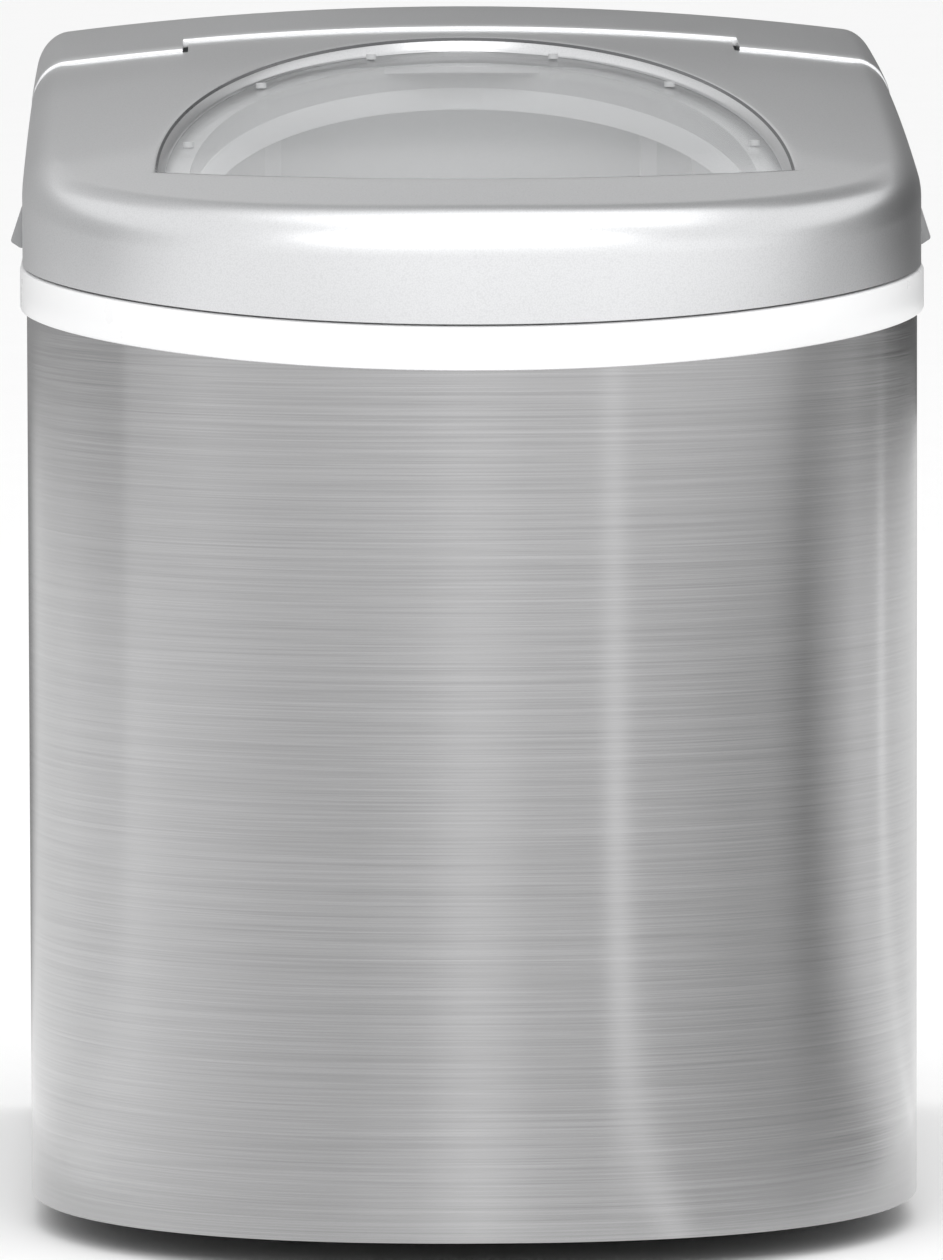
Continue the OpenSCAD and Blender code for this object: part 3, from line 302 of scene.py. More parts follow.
def grained(name, colour, rough, metal=0.0, vary=0.05, grain=1800, depth=0.02, stretch=(1, 1, 1),
            coat=0.0, specular=0.5, wear=0.0, uneven=0.15):
    """Moulded, cast or painted surface: mottled colour, uneven gloss and a fine grain."""
    material, tree, shader = new_material(name)
    space = object_space(tree, stretch)
    broad = spread(tree, noise(tree, space, 14, 3), 0, 1)
    colour_out = tinted(tree, broad, scaled(colour, 1 - vary), scaled(colour, 1 + vary))
    if wear:
        edge = add(tree, "ShaderNodeNewGeometry").outputs["Pointiness"]
        worn = add(tree, "ShaderNodeMix", {"data_type": "RGBA"})
        tree.links.new(spread(tree, edge, 0, wear, 0.52, 0.6), worn.inputs["Factor"])
        tree.links.new(colour_out, worn.inputs[6])
        worn.inputs[7].default_value = (*scaled(colour, 1.25), 1)
        colour_out = worn.outputs[2]
    tree.links.new(colour_out, shader.inputs["Base Color"])
    fine = noise(tree, space, grain, 3)
    gloss = spread(tree, noise(tree, space, 60, 4), rough * (1 - uneven), rough * (1 + uneven))
    tree.links.new(gloss, shader.inputs["Roughness"])
    bump(tree, shader, fine, depth * MM)
    shader.inputs["Metallic"].default_value = metal
    shader.inputs["Coat Weight"].default_value = coat
    shader.inputs["Coat Roughness"].default_value = 0.08
    shader.inputs["Specular IOR Level"].default_value = specular
    return material


# ------------------------------------------------------------------ materials
def brushed_steel():
    """Stainless sheet brushed along the horizontal."""
    material, tree, shader = new_material("brushed_steel")
    lines = object_space(tree, (14, 14, 2800))
    bands = object_space(tree, (6, 6, 800))
    hair = noise(tree, lines, 1.0, 5, 0.65)
    broad = noise(tree, bands, 1.0, 3)
    smudge = noise(tree, object_space(tree), 9, 3)
    both = math_node(tree, "MULTIPLY_ADD", hair, 0.7, math_node(tree, "MULTIPLY", broad, 0.3))
    steel = (0.415, 0.415, 0.418)
    colour = tinted(tree, spread(tree, both, 0, 1, 0.35, 0.65), scaled(steel, 0.88), scaled(steel, 1.12))
    tree.links.new(colour, shader.inputs["Base Color"])
    rough = math_node(tree, "ADD", spread(tree, hair, 0.14, 0.22), spread(tree, smudge, 0.0, 0.05))
    tree.links.new(rough, shader.inputs["Roughness"])
    shader.inputs["Metallic"].default_value = 1.0
    shader.inputs["Anisotropic"].default_value = 0.75
    shader.inputs["Anisotropic Rotation"].default_value = 0.25
    tangent = add(tree, "ShaderNodeTangent", {"direction_type": "RADIAL", "axis": "Z"})
    tree.links.new(tangent.outputs["Tangent"], shader.inputs["Tangent"])
    bump(tree, shader, hair, 0.004 * MM, 0.5)
    return material


def silver_paint():
    """Silver painted plastic with a fine flake under a thin lacquer."""
    material, tree, shader = new_material("silver_paint")
    space = object_space(tree)
    cells = add(tree, "ShaderNodeTexVoronoi", Vector=space, Scale=2400.0).outputs["Distance"]
    broad = noise(tree, space, 7, 2)
    silver = (0.70, 0.705, 0.715)
    flake = tinted(tree, spread(tree, cells, 0, 1, 0.1, 0.9), scaled(silver, 1.05), scaled(silver, 0.93))
    tree.links.new(flake, shader.inputs["Base Color"])
    tree.links.new(spread(tree, broad, 0.27, 0.33), shader.inputs["Roughness"])
    shader.inputs["Metallic"].default_value = 0.9
    shader.inputs["Coat Weight"].default_value = 0.25
    shader.inputs["Coat Roughness"].default_value = 0.06
    bump(tree, shader, cells, 0.006 * MM, 0.4)
    return material


def clear_plastic(name, colour, alpha, rough=0.06):
    """Clear moulded plastic: a tinted film with faint flow marks."""
    material, tree, shader = new_material(name)
    space = object_space(tree)
    flow = noise(tree, space, 16, 3)
    film = tinted(tree, spread(tree, flow, 0, 1), scaled(colour, 0.96), colour)
    tree.links.new(film, shader.inputs["Base Color"])
    haze = spread(tree, noise(tree, space, 40, 4), rough, rough * 1.8)
    tree.links.new(haze, shader.inputs["Roughness"])
    shader.inputs["Alpha"].default_value = alpha
    shader.inputs["Specular IOR Level"].default_value = 0.7
    bump(tree, shader, flow, 0.05 * MM, 0.3)
    return material


def cellular(name, colour, scale):
    """Expanded foam: close round cells."""
    material, tree, shader = new_material(name)
    cells = add(tree, "ShaderNodeTexVoronoi", Vector=object_space(tree), Scale=scale).outputs["Distance"]
    shade = tinted(tree, cells, scaled(colour, 1.04), scaled(colour, 0.86))
    tree.links.new(shade, shader.inputs["Base Color"])
    shader.inputs["Roughness"].default_value = 0.9
    bump(tree, shader, cells, 0.3 * MM, 0.6)
    return material


def circuit_board():
    """Green solder mask with faint square traces."""
    material, tree, shader = new_material("circuit_board")
    space = object_space(tree)
    square = {"distance": "CHEBYCHEV", "feature": "F2"}
    tracks = add(tree, "ShaderNodeTexVoronoi", square, Vector=space, Scale=260.0).outputs["Distance"]
    mask = tinted(tree, spread(tree, tracks, 0, 1, 0.4, 0.8), (0.01, 0.09, 0.03), (0.03, 0.2, 0.07))
    tree.links.new(mask, shader.inputs["Base Color"])
    shader.inputs["Roughness"].default_value = 0.35
    bump(tree, shader, tracks, 0.05 * MM, 0.3)
    return material


def lit_lens():
    """Small green lens with a soft frosting."""
    material, tree, shader = new_material("lens_green")
    frost = noise(tree, object_space(tree), 900, 3)
    tree.links.new(tinted(tree, frost, (0.05, 0.5, 0.12), (0.2, 0.8, 0.25)), shader.inputs["Base Color"])
    tree.links.new(spread(tree, frost, 0.15, 0.3), shader.inputs["Roughness"])
    shader.inputs["Emission Color"].default_value = (0.1, 0.9, 0.2, 1)
    shader.inputs["Emission Strength"].default_value = 0.25
    return material


SLOT_MATERIALS = {
    "black_plastic": grained("black_plastic", (0.035, 0.036, 0.038), 0.5, wear=0.5),
    "foot_rubber": grained("foot_rubber", (0.022, 0.022, 0.023), 0.8, vary=0.12, grain=900, depth=0.06,
                           specular=0.3),
    "screw_steel": grained("screw_steel", (0.62, 0.62, 0.63), 0.3, metal=1.0, wear=0.4),
    "brushed_wrap": brushed_steel(),
    "galvanised_panel": grained("galvanised_panel", (0.58, 0.59, 0.6), 0.42, metal=0.9, vary=0.12,
                                grain=260, depth=0.01),
    "white_gloss": grained("white_gloss", (0.79, 0.792, 0.795), 0.28, vary=0.008, grain=500, depth=0.0005,
                            specular=0.35, uneven=0.03),
    "white_tub": grained("white_tub", (0.80, 0.81, 0.82), 0.35, vary=0.02, depth=0.015),
    "foam": cellular("foam", (0.82, 0.79, 0.68), 420.0),
    "silver_plastic": silver_paint(),
    # The window's pale film at 0.30 opacity also lightens the dark tub seen through it: painted light.
    "clear_window": clear_plastic("clear_window", (0.80, 0.81, 0.82), 0.30),
    "grey_liner": grained("grey_liner", (0.50, 0.505, 0.51), 0.35, vary=0.03, depth=0.02),
    "clear_basket": clear_plastic("clear_basket", (0.78, 0.81, 0.84), 0.45, 0.12),
    "panel_grey": grained("panel_grey", (0.07, 0.072, 0.076), 0.3, coat=0.3),
    "lens_green": lit_lens(),
    "circuit_board": circuit_board(),
    "copper": grained("copper", (0.72, 0.36, 0.22), 0.28, metal=1.0, vary=0.12, grain=600),
    "nickel": grained("nickel", (0.66, 0.65, 0.62), 0.22, metal=1.0, vary=0.05, grain=900, depth=0.006),
    "orange_float": grained("orange_float", (0.78, 0.25, 0.04), 0.45),
    "hose_clear": grained("hose_clear", (0.66, 0.70, 0.72), 0.35, coat=0.2),
    "black_enamel": grained("black_enamel", (0.02, 0.02, 0.022), 0.25, coat=0.5, grain=500, depth=0.03),
    "aluminium_fins": grained("aluminium_fins", (0.68, 0.69, 0.7), 0.35, metal=1.0, vary=0.08,
                              stretch=(1, 1, 0.1)),
    "motor_steel": grained("motor_steel", (0.4, 0.4, 0.41), 0.4, metal=0.9, vary=0.1),
    "fan_plastic": grained("fan_plastic", (0.06, 0.061, 0.064), 0.45, wear=0.4),
}


def dress_nodes():
    """Gives every carried-over node the material of its slot."""
    for part in frame["record"]["subparts"]:
        node = frame["nodes"][part["node"]]
        node.data.materials.clear()
        node.data.materials.append(SLOT_MATERIALS[part["material_slot"]])


# ------------------------------------------------------------------ lid
# How much of the side rounding shows along the lid's back edge.
BACK_SHARE = 0.12
# Outlines of the window's surroundings: inset from the recess's edge, and drop below the lid's top, in mm.
RECESS_PROFILE = [(-0.9, 0), (-0.25, 0.06), (0.2, 0.35), (2.2, 2.9), (2.45, 3.25), (2.5, 3.8), (-3, 3.8),
                  (-5, 2.5)]
# Inset and drop of the near-black bead that paints the shadow along the recess's upper edge, in mm.
SHADOW_BEAD_PROFILE = [(0.05, 0.25), (0.25, 0.18), (0.75, 0.85), (0.6, 1.05)]
LIP_PROFILE = [(8.6, 13.2), (9.1, 13.2), (11.6, 18.6), (11.5, 19.0), (11.1, 19.05)]
# Liner: sheet thickness, then the height and inward lean of its rim and the rim's inset.
LINER_TOP = WINDOW_DEEP + WINDOW_T + 0.45 * MM
LINER_T = 1.8 * MM
RIM_H = 11 * MM
RIM_LEAN = 2.2 * MM
RIM_INSET = 7 * MM
RIM_ROUND = 0.4 * MM


def edge_inset(d, a):
    """Distance from the lid's side to the point at angle a of the rounding, d inside the surface."""
    return d + (EDGE_W - d) * (1 - math.cos(a))


def profile_drop(distance, d):
    """Drop of the rounded side below the lid's top, d inside the surface."""
    return d + fall(distance - d, EDGE_W - d, EDGE_H - d)


def lid_ring(d, a, low=False):
    """Ring on the lid's skin, d inside it, at angle a of the side's rounding. low gives its lower edge."""
    inset = edge_inset(d, a)
    back = LID_BACK - BACK_SHARE * inset
    side = TONGUE_W / 2 - BACK_SHARE * inset
    hw = LID_HW - inset
    front = nose(hw, FRONT + LID_INSET + inset, NOSE - LID_INSET - inset)
    right = line((hw, FRONT + NOSE), (hw, back), SIDE_N)
    bend = EDGE_W + 2 * MM - inset
    turn = np.linspace(0, 1, EDGE_N + 1)[1:]
    curved = np.column_stack([hw - bend * (1 - np.cos(turn * math.pi / 2)), np.full(EDGE_N, back)])
    flat = line((hw - bend, back), (side, back), 6)
    tongue = line((side, back), (side, back + TONGUE_L), 6)
    half = np.vstack([right, curved, flat, tongue, line((side, back + TONGUE_L), (0, back + TONGUE_L), 8)])
    mirror = half[::-1][1:] * np.array([-1, 1])
    points = np.vstack([front, half, mirror[:-1]])
    x, y = points[:, 0], points[:, 1]
    behind = np.zeros(len(points), bool)
    behind[len(front) + SIDE_N:len(points) - SIDE_N + 1] = True
    drop = (EDGE_H - d) * (1 - math.sin(a)) + d
    across = np.maximum(LID_HW - np.abs(x), 0)
    z = np.where(behind, top_z(x, y) - profile_drop(across, d), top_z(x, y) - drop)
    if low:
        corner = behind & (across < WALL * 0.9)
        z = np.where(~behind | corner, band_high(x, y) + 0.5 * MM, top_z(x, y) - profile_drop(across, WALL))
    return np.column_stack([x, y, z])


def soften(points, centres, reach, times):
    """Rounds the corners of a closed outline near the given indices."""
    points = points.copy()
    for _ in range(times):
        for c in centres:
            picked = [(c + k) % len(points) for k in range(-reach, reach + 1)]
            new = [(points[i - 1] + 2 * points[i] + points[(i + 1) % len(points)]) / 4 for i in picked]
            for i, p in zip(picked, new):
                points[i] = p
    return points


def window_outline(inset, count):
    """The window recess's outline moved inwards, with count points, starting at its left tip."""
    hw = WINDOW_HW - inset
    tip = FRONT + WINDOW_FRONT + WINDOW_BOW + inset
    unit = nose(1, 0, 1)[:, 0]
    front = np.column_stack([hw * unit, tip - WINDOW_BOW * (1 - unit * unit)])
    rest = count - NOSE_N
    a = np.pi * np.arange(1, rest) / rest
    rear = np.column_stack([hw * np.cos(a), tip + (WINDOW_LEN - 2 * inset) * np.sin(a)])
    return soften(np.vstack([front, rear]), (0, NOSE_N), 3, 3)


def on_top(points, drop):
    """Ring that follows the lid's top at a drop below it."""
    return ring(points, lambda x, y: top_z(x, y) - drop)


def blend(a, b, share):
    """Points that lie a share of the way from a to b."""
    return a * (1 - share) + b * share


def profile_rings(profile, count):
    """Rings round the window for each inset and drop of a profile."""
    return [on_top(window_outline(d * MM, count), drop * MM) for d, drop in profile]


def build_lid_shell():
    """Silver cover with its rounded edge, its window recess and its inner face."""
    outer = [lid_ring(0, a) for a in np.linspace(0, math.pi / 2, EDGE_N)]
    inner = [lid_ring(WALL, a) for a in np.linspace(math.pi / 2, 0, 5)]
    count = len(outer[0])
    edge = outer[-1][:, :2]
    shares = np.linspace(0, 1, 14)[1:-1]
    rings = [lid_ring(0, 0, low=True)] + outer
    opening = window_outline(RECESS_PROFILE[0][0] * MM, count)
    rings += [on_top(blend(edge, opening, s), 0) for s in shares]
    rings += profile_rings(RECESS_PROFILE, count)
    inside = inner[0][:, :2]
    under = window_outline(RECESS_PROFILE[-1][0] * MM, count)
    rings += [on_top(blend(under, inside, s), WALL) for s in (0.25, 0.5, 0.75)]
    rings += inner + [lid_ring(WALL, 0, low=True)]
    shell = loft("lid_shell", rings, loop=True, sharp=32)
    place(shell, SLOT_MATERIALS["silver_plastic"], "lid", "silver_plastic", "lid_cover")


def disc_rings(inset, count, drop, shares):
    """Rings from near the window's middle out to its edge, at a drop below the lid's top."""
    edge = window_outline(inset, count)
    middle = np.array([0, FRONT + WINDOW_FRONT + WINDOW_BOW + WINDOW_LEN * 0.4])
    return [on_top(blend(np.tile(middle, (count, 1)), edge, s), drop) for s in shares]


def build_window():
    """Clear pane on the recess's floor."""
    top = WINDOW_DEEP + 0.05 * MM
    overlap = -2 * MM
    shares = [0.02] + list(np.linspace(0.12, 1, 9))
    rings = disc_rings(overlap, WINDOW_N, top + WINDOW_T, shares)
    rings += disc_rings(overlap, WINDOW_N, top, shares)[::-1]
    place(loft("window_pane", rings), SLOT_MATERIALS["clear_window"], "lid", "clear_window", "lid_window")


def build_shadow_bead():
    """Thin near-black bead along the upper edge of the window's recess: a painted shadow of the recess's
    edge.
    """
    shadow_bead = loft("window_shadow_bead", profile_rings(SHADOW_BEAD_PROFILE, WINDOW_N), loop=True)
    # Near-black panel grey on the bead: painted shadow along the recess's edge.
    place(shadow_bead, SLOT_MATERIALS["panel_grey"], "lid", "panel_grey")


def build_painted_highlight_lip():
    """Lip along the lower edge of the liner's rim: part of the grey liner, drawn in the lighter white tub
    material as a painted highlight.
    """
    lip = loft("painted_highlight_lip", profile_rings(LIP_PROFILE, WINDOW_N), loop=True)
    # The grey liner's lip takes the white tub material: a painted highlight.
    place(lip, SLOT_MATERIALS["white_tub"], "lid", "grey_liner")


def liner_plan(count):
    """Outer outline of the liner with count points."""
    margin = EDGE_W + MM
    hw, back = LID_HW - margin, LID_BACK - margin
    front = nose(hw, FRONT + LID_INSET + margin, NOSE - LID_INSET - margin)
    plan = np.vstack([front, line((hw, FRONT + NOSE), (hw, back), SIDE_N)])
    across = line((hw, back), (-hw, back), count - len(plan) - SIDE_N)
    return np.vstack([plan, across, line((-hw, back), (-hw, FRONT + NOSE), SIDE_N + 1)[:-1]])


def build_liner():
    """Liner under the lid, with a rim round the window's opening that leans inwards."""
    count = len(lid_ring(0, 0))
    plan = liner_plan(count)
    under = LINER_TOP + LINER_T
    knee, foot = under + RIM_H * 0.45, under + RIM_H
    rim_out, rim_in = window_outline(RIM_INSET, count), window_outline(RIM_INSET + LINER_T, count)
    low_in = window_outline(RIM_INSET + LINER_T + RIM_LEAN, count)
    low_out = window_outline(RIM_INSET + RIM_LEAN, count)
    shares = (0.25, 0.5, 0.75)
    rings = [on_top(plan, under), on_top(plan, LINER_TOP)]
    rings += [on_top(blend(plan, rim_in, s), LINER_TOP) for s in shares]
    rings += [on_top(rim_in, LINER_TOP), on_top(rim_in, knee), on_top(low_in, foot - RIM_ROUND)]
    rings += [on_top(blend(low_in, low_out, 0.5), foot), on_top(low_out, foot - RIM_ROUND)]
    rings += [on_top(rim_out, knee), on_top(rim_out, under)]
    rings += [on_top(blend(rim_out, plan, s), under) for s in shares]
    liner = loft("liner_shell", rings, loop=True)
    place(liner, SLOT_MATERIALS["grey_liner"], "lid", "grey_liner", "lid_liner")


def build_grips():
    """Wedges on the lid's sides for the fingers that lift it."""
    low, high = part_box("lid_finger_grips")
    middle, foot = (low.y + high.y) / 2, low.z + 1.5 * MM
    root = LID_HW - 0.3 * MM
    profile = [(root, high.z), (LID_HW + 0.3 * MM, high.z - 0.4 * MM), (high.x, foot + 0.8 * MM),
               (high.x, foot + 0.1 * MM), (LID_HW + 0.8 * MM, low.z), (root, low.z)]
    tight = [1, 1, 0.87, 0.87, 0.87, 0.87]
    half = (high.y - low.y) / 2
    # The silver grips take a darker grey that stands in for the dark reflections they show: painted shade.
    grip = grained("grip_painted_shade_grey", (0.26, 0.262, 0.266), 0.4)
    for side, word in ((1, "right"), (-1, "left")):
        rings = []
        for s in (-1, -0.5, 0.5, 1):
            shift = side * s * half
            rings.append(np.array([(side * x, middle + shift * t, z) for (x, z), t in zip(profile, tight)]))
        piece = loft("finger_grip_" + word, rings[::-1])
        bevel = piece.modifiers.new("soft_edges", "BEVEL")
        bevel.width, bevel.segments, bevel.limit_method = 0.5 * MM, 3, "ANGLE"
        apply_modifiers(piece)
        piece.data.shade_smooth()
        piece.data.set_sharp_from_angle(angle=math.radians(50))
        place(piece, grip, "lid", "silver_plastic", *(["lid_finger_grips"] if side > 0 else []))


# ------------------------------------------------------------------ rear deck
DECK_PROUD = 1 * MM
DECK_BACK = BACK - MM
DECK_BACK_R = 7 * MM
DECK_FRONT = LID_BACK + LID_GAP
DECK_MID = LID_BACK + TONGUE_L + LID_GAP
LIP_R = 0.7 * MM


def deck_top(x, y):
    """Height of the rear deck's outer skin."""
    side = fall(LID_HW - abs(x), EDGE_W, EDGE_H)
    rear = fall(DECK_BACK - y, DECK_BACK_R, DECK_BACK_R * 0.7)
    return top_z(x, y) + DECK_PROUD - side - rear


def deck_section(x, solid):
    """Closed front-to-back section of the deck's wall at x."""
    start = DECK_MID if abs(x) < TONGUE_W / 2 + LID_GAP else DECK_FRONT
    bend = DECK_BACK - DECK_BACK_R
    inner = DECK_BACK - WALL
    low = band_high(x, DECK_BACK)
    turn = np.linspace(0, math.pi / 2, 4)
    lip = [(start + LIP_R * (1 - math.cos(a)), LIP_R * (1 - math.sin(a))) for a in turn]
    flat = [(y, 0) for y in np.linspace(start + LIP_R, bend, 10)[1:]]
    rear = [(bend + DECK_BACK_R * math.sin(a), 0) for a in np.linspace(0, math.pi / 2, 9)[1:]]
    section = [(x, y, deck_top(x, y) - drop) for y, drop in lip + flat + rear]
    section += [(x, DECK_BACK, low), (x, inner, low)]
    for y in [inner] + list(np.linspace(bend, start, 6)):
        hollow = deck_top(x, y) - WALL * (1.2 if y > bend else 1)
        section.append((x, y, band_high(x, y) + 0.1 * MM if solid else hollow))
    return section


def build_rear_deck():
    """Silver deck behind the lid, lofted across the body, with its notch for the tongue."""
    rounding = [LID_HW - EDGE_W * (1 - math.cos(a)) for a in np.linspace(0, math.pi / 2, 12)]
    notch, side_wall, step = TONGUE_W / 2 + LID_GAP, LID_HW - WALL, 0.02 * MM
    stations = [x for x in rounding if x > side_wall] + [side_wall, side_wall - 0.05 * MM]
    stations += [x for x in rounding if x < side_wall - 0.1 * MM]
    stations += list(np.linspace(stations[-1], notch + 0.6 * MM, 5)[1:])
    stations += [notch + step, notch - step]
    stations += list(np.linspace(notch, 0, 9)[1:])
    every = stations + [-x for x in stations[-2::-1]]
    rings = [np.array(deck_section(x, abs(x) > side_wall - step / 2)) for x in every]
    deck = loft("rear_deck_shell", rings, sharp=30)
    place(deck, SLOT_MATERIALS["silver_plastic"], "cabinet", "silver_plastic", "rear_deck")


# ------------------------------------------------------------------ housing and wrap
def band_inside(x, y):
    """Height of the ceiling inside the band."""
    return np.minimum(band_high(x, y) - WALL, DECK_Z - 3 * MM)


def tub_hole():
    """Outline of the hole that the tub hangs in."""
    gap = 0.3 * MM
    depth = NOSE - (BAND_HW - TUB_HW) + gap
    return outline(TUB_HW + gap, TUB_FRONT - gap, TUB_BACK + gap, depth, TUB_R)


def build_housing():
    """White moulding: the visible band, the ledge above it and the deck round the tub."""
    def band(inset, height, more=0.0):
        return ring(body_outline(inset * MM), lambda x, y: height(x, y) + more * MM)
    plate, edge_r, sleeve_inset = 2 * MM, 0.8 * MM, 1.6 * MM
    hole, ledge = tub_hole(), body_outline(LEDGE_W)
    inside, sleeve = body_outline(LEDGE_W + plate), body_outline(sleeve_inset)
    rings = [
        band(0.7, band_low), band(0.2, band_low, 0.2), band(0, band_low, 0.7),
        band(0, band_high, -1.2), band(0.35, band_high, -0.35), band(1.2, band_high),
        ring(ledge, band_high), ring(ledge, DECK_Z - edge_r),
        ring(body_outline(LEDGE_W + 0.3 * edge_r), DECK_Z - 0.3 * edge_r),
        ring(body_outline(LEDGE_W + edge_r), DECK_Z),
        ring(hole, DECK_Z), ring(hole, DECK_Z - plate), ring(inside, DECK_Z - plate),
        ring(inside, band_inside), ring(sleeve, band_inside), ring(sleeve, band_low)]
    piece = loft("upper_housing_shell", rings, loop=True)
    cut_button_holes(piece)
    place(piece, SLOT_MATERIALS["white_gloss"], "cabinet", "white_gloss", "upper_housing")


def cut_button_holes(piece):
    """Round holes that the two buttons slide in. Each button's flange is wider than its hole."""
    flange, reach = 0.7 * MM, 4 * MM
    for name in ("power_button", "select_button"):
        low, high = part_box(name)
        middle = (low + high) / 2
        r = (high.x - low.x) / 2 - flange
        turn = np.linspace(0, 2 * math.pi, 33)[:-1]
        circle = np.column_stack([middle.x + r * np.cos(turn), middle.y + r * np.sin(turn)])
        cutter = loft("button_cutter", [ring(circle, DECK_Z - reach), ring(circle, DECK_Z + reach)])
        hole = piece.modifiers.new("hole", "BOOLEAN")
        hole.operation, hole.solver, hole.object = "DIFFERENCE", "EXACT", cutter
        apply_modifiers(piece)
        bpy.data.objects.remove(cutter)
    piece.data.shade_smooth()
    piece.data.set_sharp_from_angle(angle=math.radians(38))


def wrap_path(d):
    """Line of the sheet round the front and sides, ending in two folded flanges behind."""
    hw, end, fold = WRAP_HW - d, WRAP_BACK - d, 2 * MM - d
    front = FRONT + (BAND_HW - WRAP_HW)
    start = FRONT + NOSE
    right = np.vstack([
        line((hw, start), (hw, end - fold), SIDE_N),
        arc(hw - fold, end - fold, fold, 0, 90)[1:],
        line((hw - fold, end), (WRAP_HW - FLANGE_L, end), 3),
    ])
    left = right[::-1] * np.array([-1, 1])
    return np.vstack([left, nose(hw, front + d, NOSE - (BAND_HW - WRAP_HW) - d), right])


def build_wrap():
    """Steel sheet as sections swept along its path, each running up the outside and down the inside."""
    def level(path, share):
        top = band_inside(path[:, 0], path[:, 1]) - 0.3 * MM
        return np.column_stack([path, BASE_Z + (top - BASE_Z) * share])
    outer, inner = wrap_path(0), wrap_path(SHEET)
    shares = [0, 0.25, 0.5, 0.75, 1]
    rings = [level(outer, s) for s in shares] + [level(inner, s) for s in shares[::-1]]
    sections = [np.array([r[i] for r in rings]) for i in range(len(outer))]
    wrap = loft("wrap_shell", sections[::-1])
    place(wrap, SLOT_MATERIALS["brushed_wrap"], "cabinet", "brushed_wrap", "outer_wrap")


# ------------------------------------------------------------------ stage
# Tone of the surroundings at azimuths round the object, where 0 is in front and 90 is its right side.
# The lower band is what the wrap reflects and the upper one what the lid's sides reflect.
LOW_TONES = [
    (-174, 0.2), (-162, 0.3), (-150, 0.95), (-119, 1.22), (-82, 1.36), (-60, 1.12), (-38, 0.93), (-18, 0.84),
    (-7, 0.95), (0, 1.2), (7, 0.93), (20, 0.84), (23, 1.7), (26, 0.82), (38, 0.74), (52, 0.63), (66, 0.62),
    (80, 0.38), (92, 0.80), (104, 1.15), (118, 1.1), (122, 1.6), (126, 1.05), (141, 1.0), (160, 0.85)]
HIGH_TONES = [
    (-165, 0.3), (-140, 0.45), (-120, 0.50), (-95, 0.46), (-84, 0.65), (-60, 1.05), (0, 1.12), (35, 1.26),
    (55, 1.15), (72, 0.90), (88, 0.50), (104, 0.32), (121, 0.06), (140, 0.0)]
SURROUND_R = 1.2
SURROUND_SPLIT = 0.13
FLOOR_HALF = 30


def build_stage():
    """Pale floor, white surroundings, soft lights, and glowing screens that only reflections see."""
    world = bpy.data.worlds.new("studio")
    bpy.context.scene.world = world
    world.use_nodes = True
    world.node_tree.nodes["Background"].inputs["Color"].default_value = (1, 1, 1, 1)
    world.node_tree.nodes["Background"].inputs["Strength"].default_value = 1.0
    floor = make_mesh("floor", rectangle(FLOOR_HALF, FLOOR_HALF), [(0, 1, 2, 3)])
    material = grained("floor_paper", (0.93, 0.93, 0.93), 0.9, vary=0.004, grain=300, specular=0.1)
    floor.data.materials.append(material)
    light("key", (-0.15, -3.4, 2.3), (0, 0, 0.2), 3.2, 1.4, 46)
    light("top_fill", (0.2, -0.6, 2.6), (0, 0, 0.2), 2.4, 2.0, 12)
    card("card_back", (0, 2.5, 1.15), 4.6, 1.0, 1.0, 0.50)
    card("card_top", (0, 2.1, 2.75), 4.6, 2.4, 0.60, 0.15)
    surround("surround_low", [(0.22, 0.001), (SURROUND_R, 0.001), (SURROUND_R, SURROUND_SPLIT)], LOW_TONES)
    surround("surround_high", [(SURROUND_R, SURROUND_SPLIT), (SURROUND_R + 0.05, 0.75)], HIGH_TONES)


def rectangle(x, y):
    """Corners of a flat rectangle from its half sizes."""
    return [(-x, -y, 0), (x, -y, 0), (x, y, 0), (-x, y, 0)]


def aimed(location, target):
    """Rotation that turns an object's -Z from a location to a target."""
    return (Vector(target) - Vector(location)).to_track_quat("-Z", "Y").to_matrix().to_4x4()


def light(name, location, target, width, height, power):
    """Soft rectangular lamp aimed at a target."""
    data = bpy.data.lights.new(name, "AREA")
    data.shape, data.size, data.size_y, data.energy = "RECTANGLE", width, height, power
    lamp = bpy.data.objects.new(name, data)
    bpy.context.scene.collection.objects.link(lamp)
    lamp.matrix_world = Matrix.Translation(location) @ aimed(location, target)
    lamp.visible_camera = False


def reflected_glow(piece, name, glow_inputs):
    """Gives a piece an emission whose inputs the function makes, and hides it from all but reflections."""
    material, tree, shader = new_material(name)
    glow = add(tree, "ShaderNodeEmission", **glow_inputs(tree))
    tree.links.new(glow.outputs[0], tree.nodes["Material Output"].inputs["Surface"])
    tree.nodes.remove(shader)
    piece.data.materials.append(material)
    piece.visible_camera = False
    piece.visible_diffuse = False
    piece.visible_shadow = False
    piece.visible_transmission = False


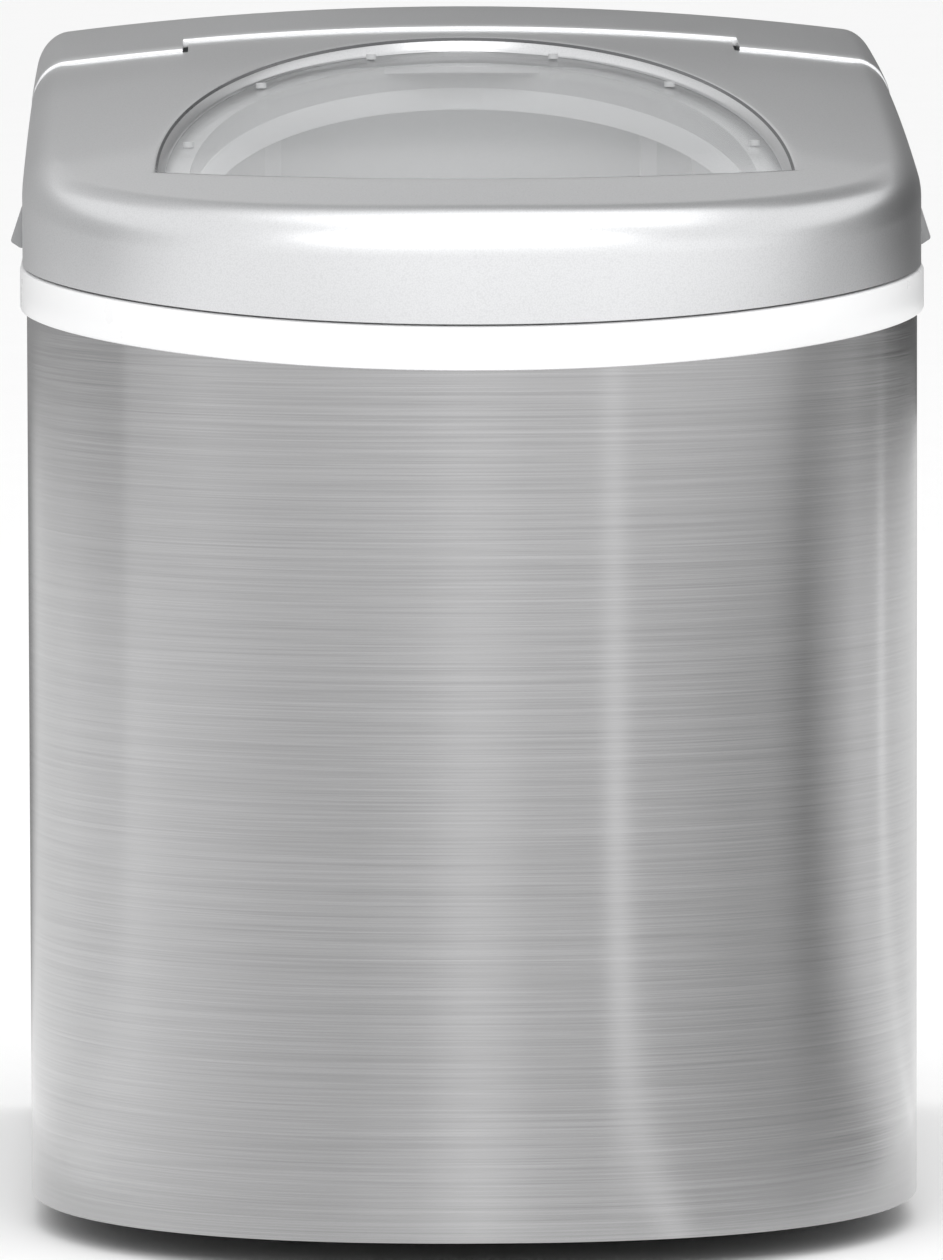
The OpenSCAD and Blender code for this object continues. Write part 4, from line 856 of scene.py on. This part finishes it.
def card(name, location, width, tall, left_tone, right_tone):
    """Glowing card that faces the object, with a tone for each end."""
    def glow_inputs(tree):
        where = add(tree, "ShaderNodeTexCoord").outputs["Generated"]
        across = add(tree, "ShaderNodeSeparateXYZ", Vector=where).outputs["X"]
        tone = spread(tree, across, right_tone, left_tone, 0, 1)
        return {"Color": (1, 1, 1, 1), "Strength": tone}
    piece = make_mesh(name, rectangle(width / 2, tall / 2), [(0, 1, 2, 3)])
    piece.matrix_world = Matrix.Translation(location) @ aimed(location, (0, 0, 0.25))
    reflected_glow(piece, name, glow_inputs)


def surround(name, profile, tones):
    """Glowing surface of revolution round the object, with a tone at each azimuth."""
    def glow_inputs(tree):
        where = add(tree, "ShaderNodeTexCoord").outputs["Object"]
        around = add(tree, "ShaderNodeTexGradient", {"gradient_type": "RADIAL"}, Vector=where)
        ramp = add(tree, "ShaderNodeValToRGB", Fac=around.outputs["Fac"])
        points = ramp.color_ramp.elements
        points.remove(points[1])
        for where, tone in sorted(((azimuth / 360 + 0.25) % 1, tone / 2) for azimuth, tone in tones):
            points.new(where).color = (tone, tone, tone, 1)
        points.remove(points[0])
        return {"Color": ramp.outputs["Color"], "Strength": 2.0}
    turns = np.radians(np.arange(0, 360, 5))
    rings = [np.array([(r * math.cos(a), r * math.sin(a), z) for a in turns]) for r, z in profile]
    reflected_glow(loft(name, rings, caps=False), name, glow_inputs)


def build_camera():
    """Long lens a little left of the front and a little above the lid."""
    data = bpy.data.cameras.new("camera")
    data.sensor_width = 36
    data.lens = 337.1
    data.clip_end = 200
    camera = bpy.data.objects.new("camera", data)
    bpy.context.scene.collection.objects.link(camera)
    forward = Vector((0.0187, 0.9961, -0.0863)).normalized()
    right = forward.cross(Vector((0, 0, 1))).normalized()
    up = right.cross(forward)
    turn = Matrix((right, up, -forward)).transposed().to_4x4()
    roll = Matrix.Rotation(-0.00264, 4, "Z")
    camera.matrix_world = Matrix.Translation((-0.0596, -3.2194, 0.4317)) @ turn @ roll
    bpy.context.scene.camera = camera


bpy.context.scene.view_settings.view_transform = "Standard"
build_camera()
build_stage()
dress_nodes()
build_lid_shell()
build_window()
build_shadow_bead()
build_liner()
build_painted_highlight_lip()
build_grips()
build_rear_deck()
build_housing()
build_wrap()

bpy.context.view_layer.update()
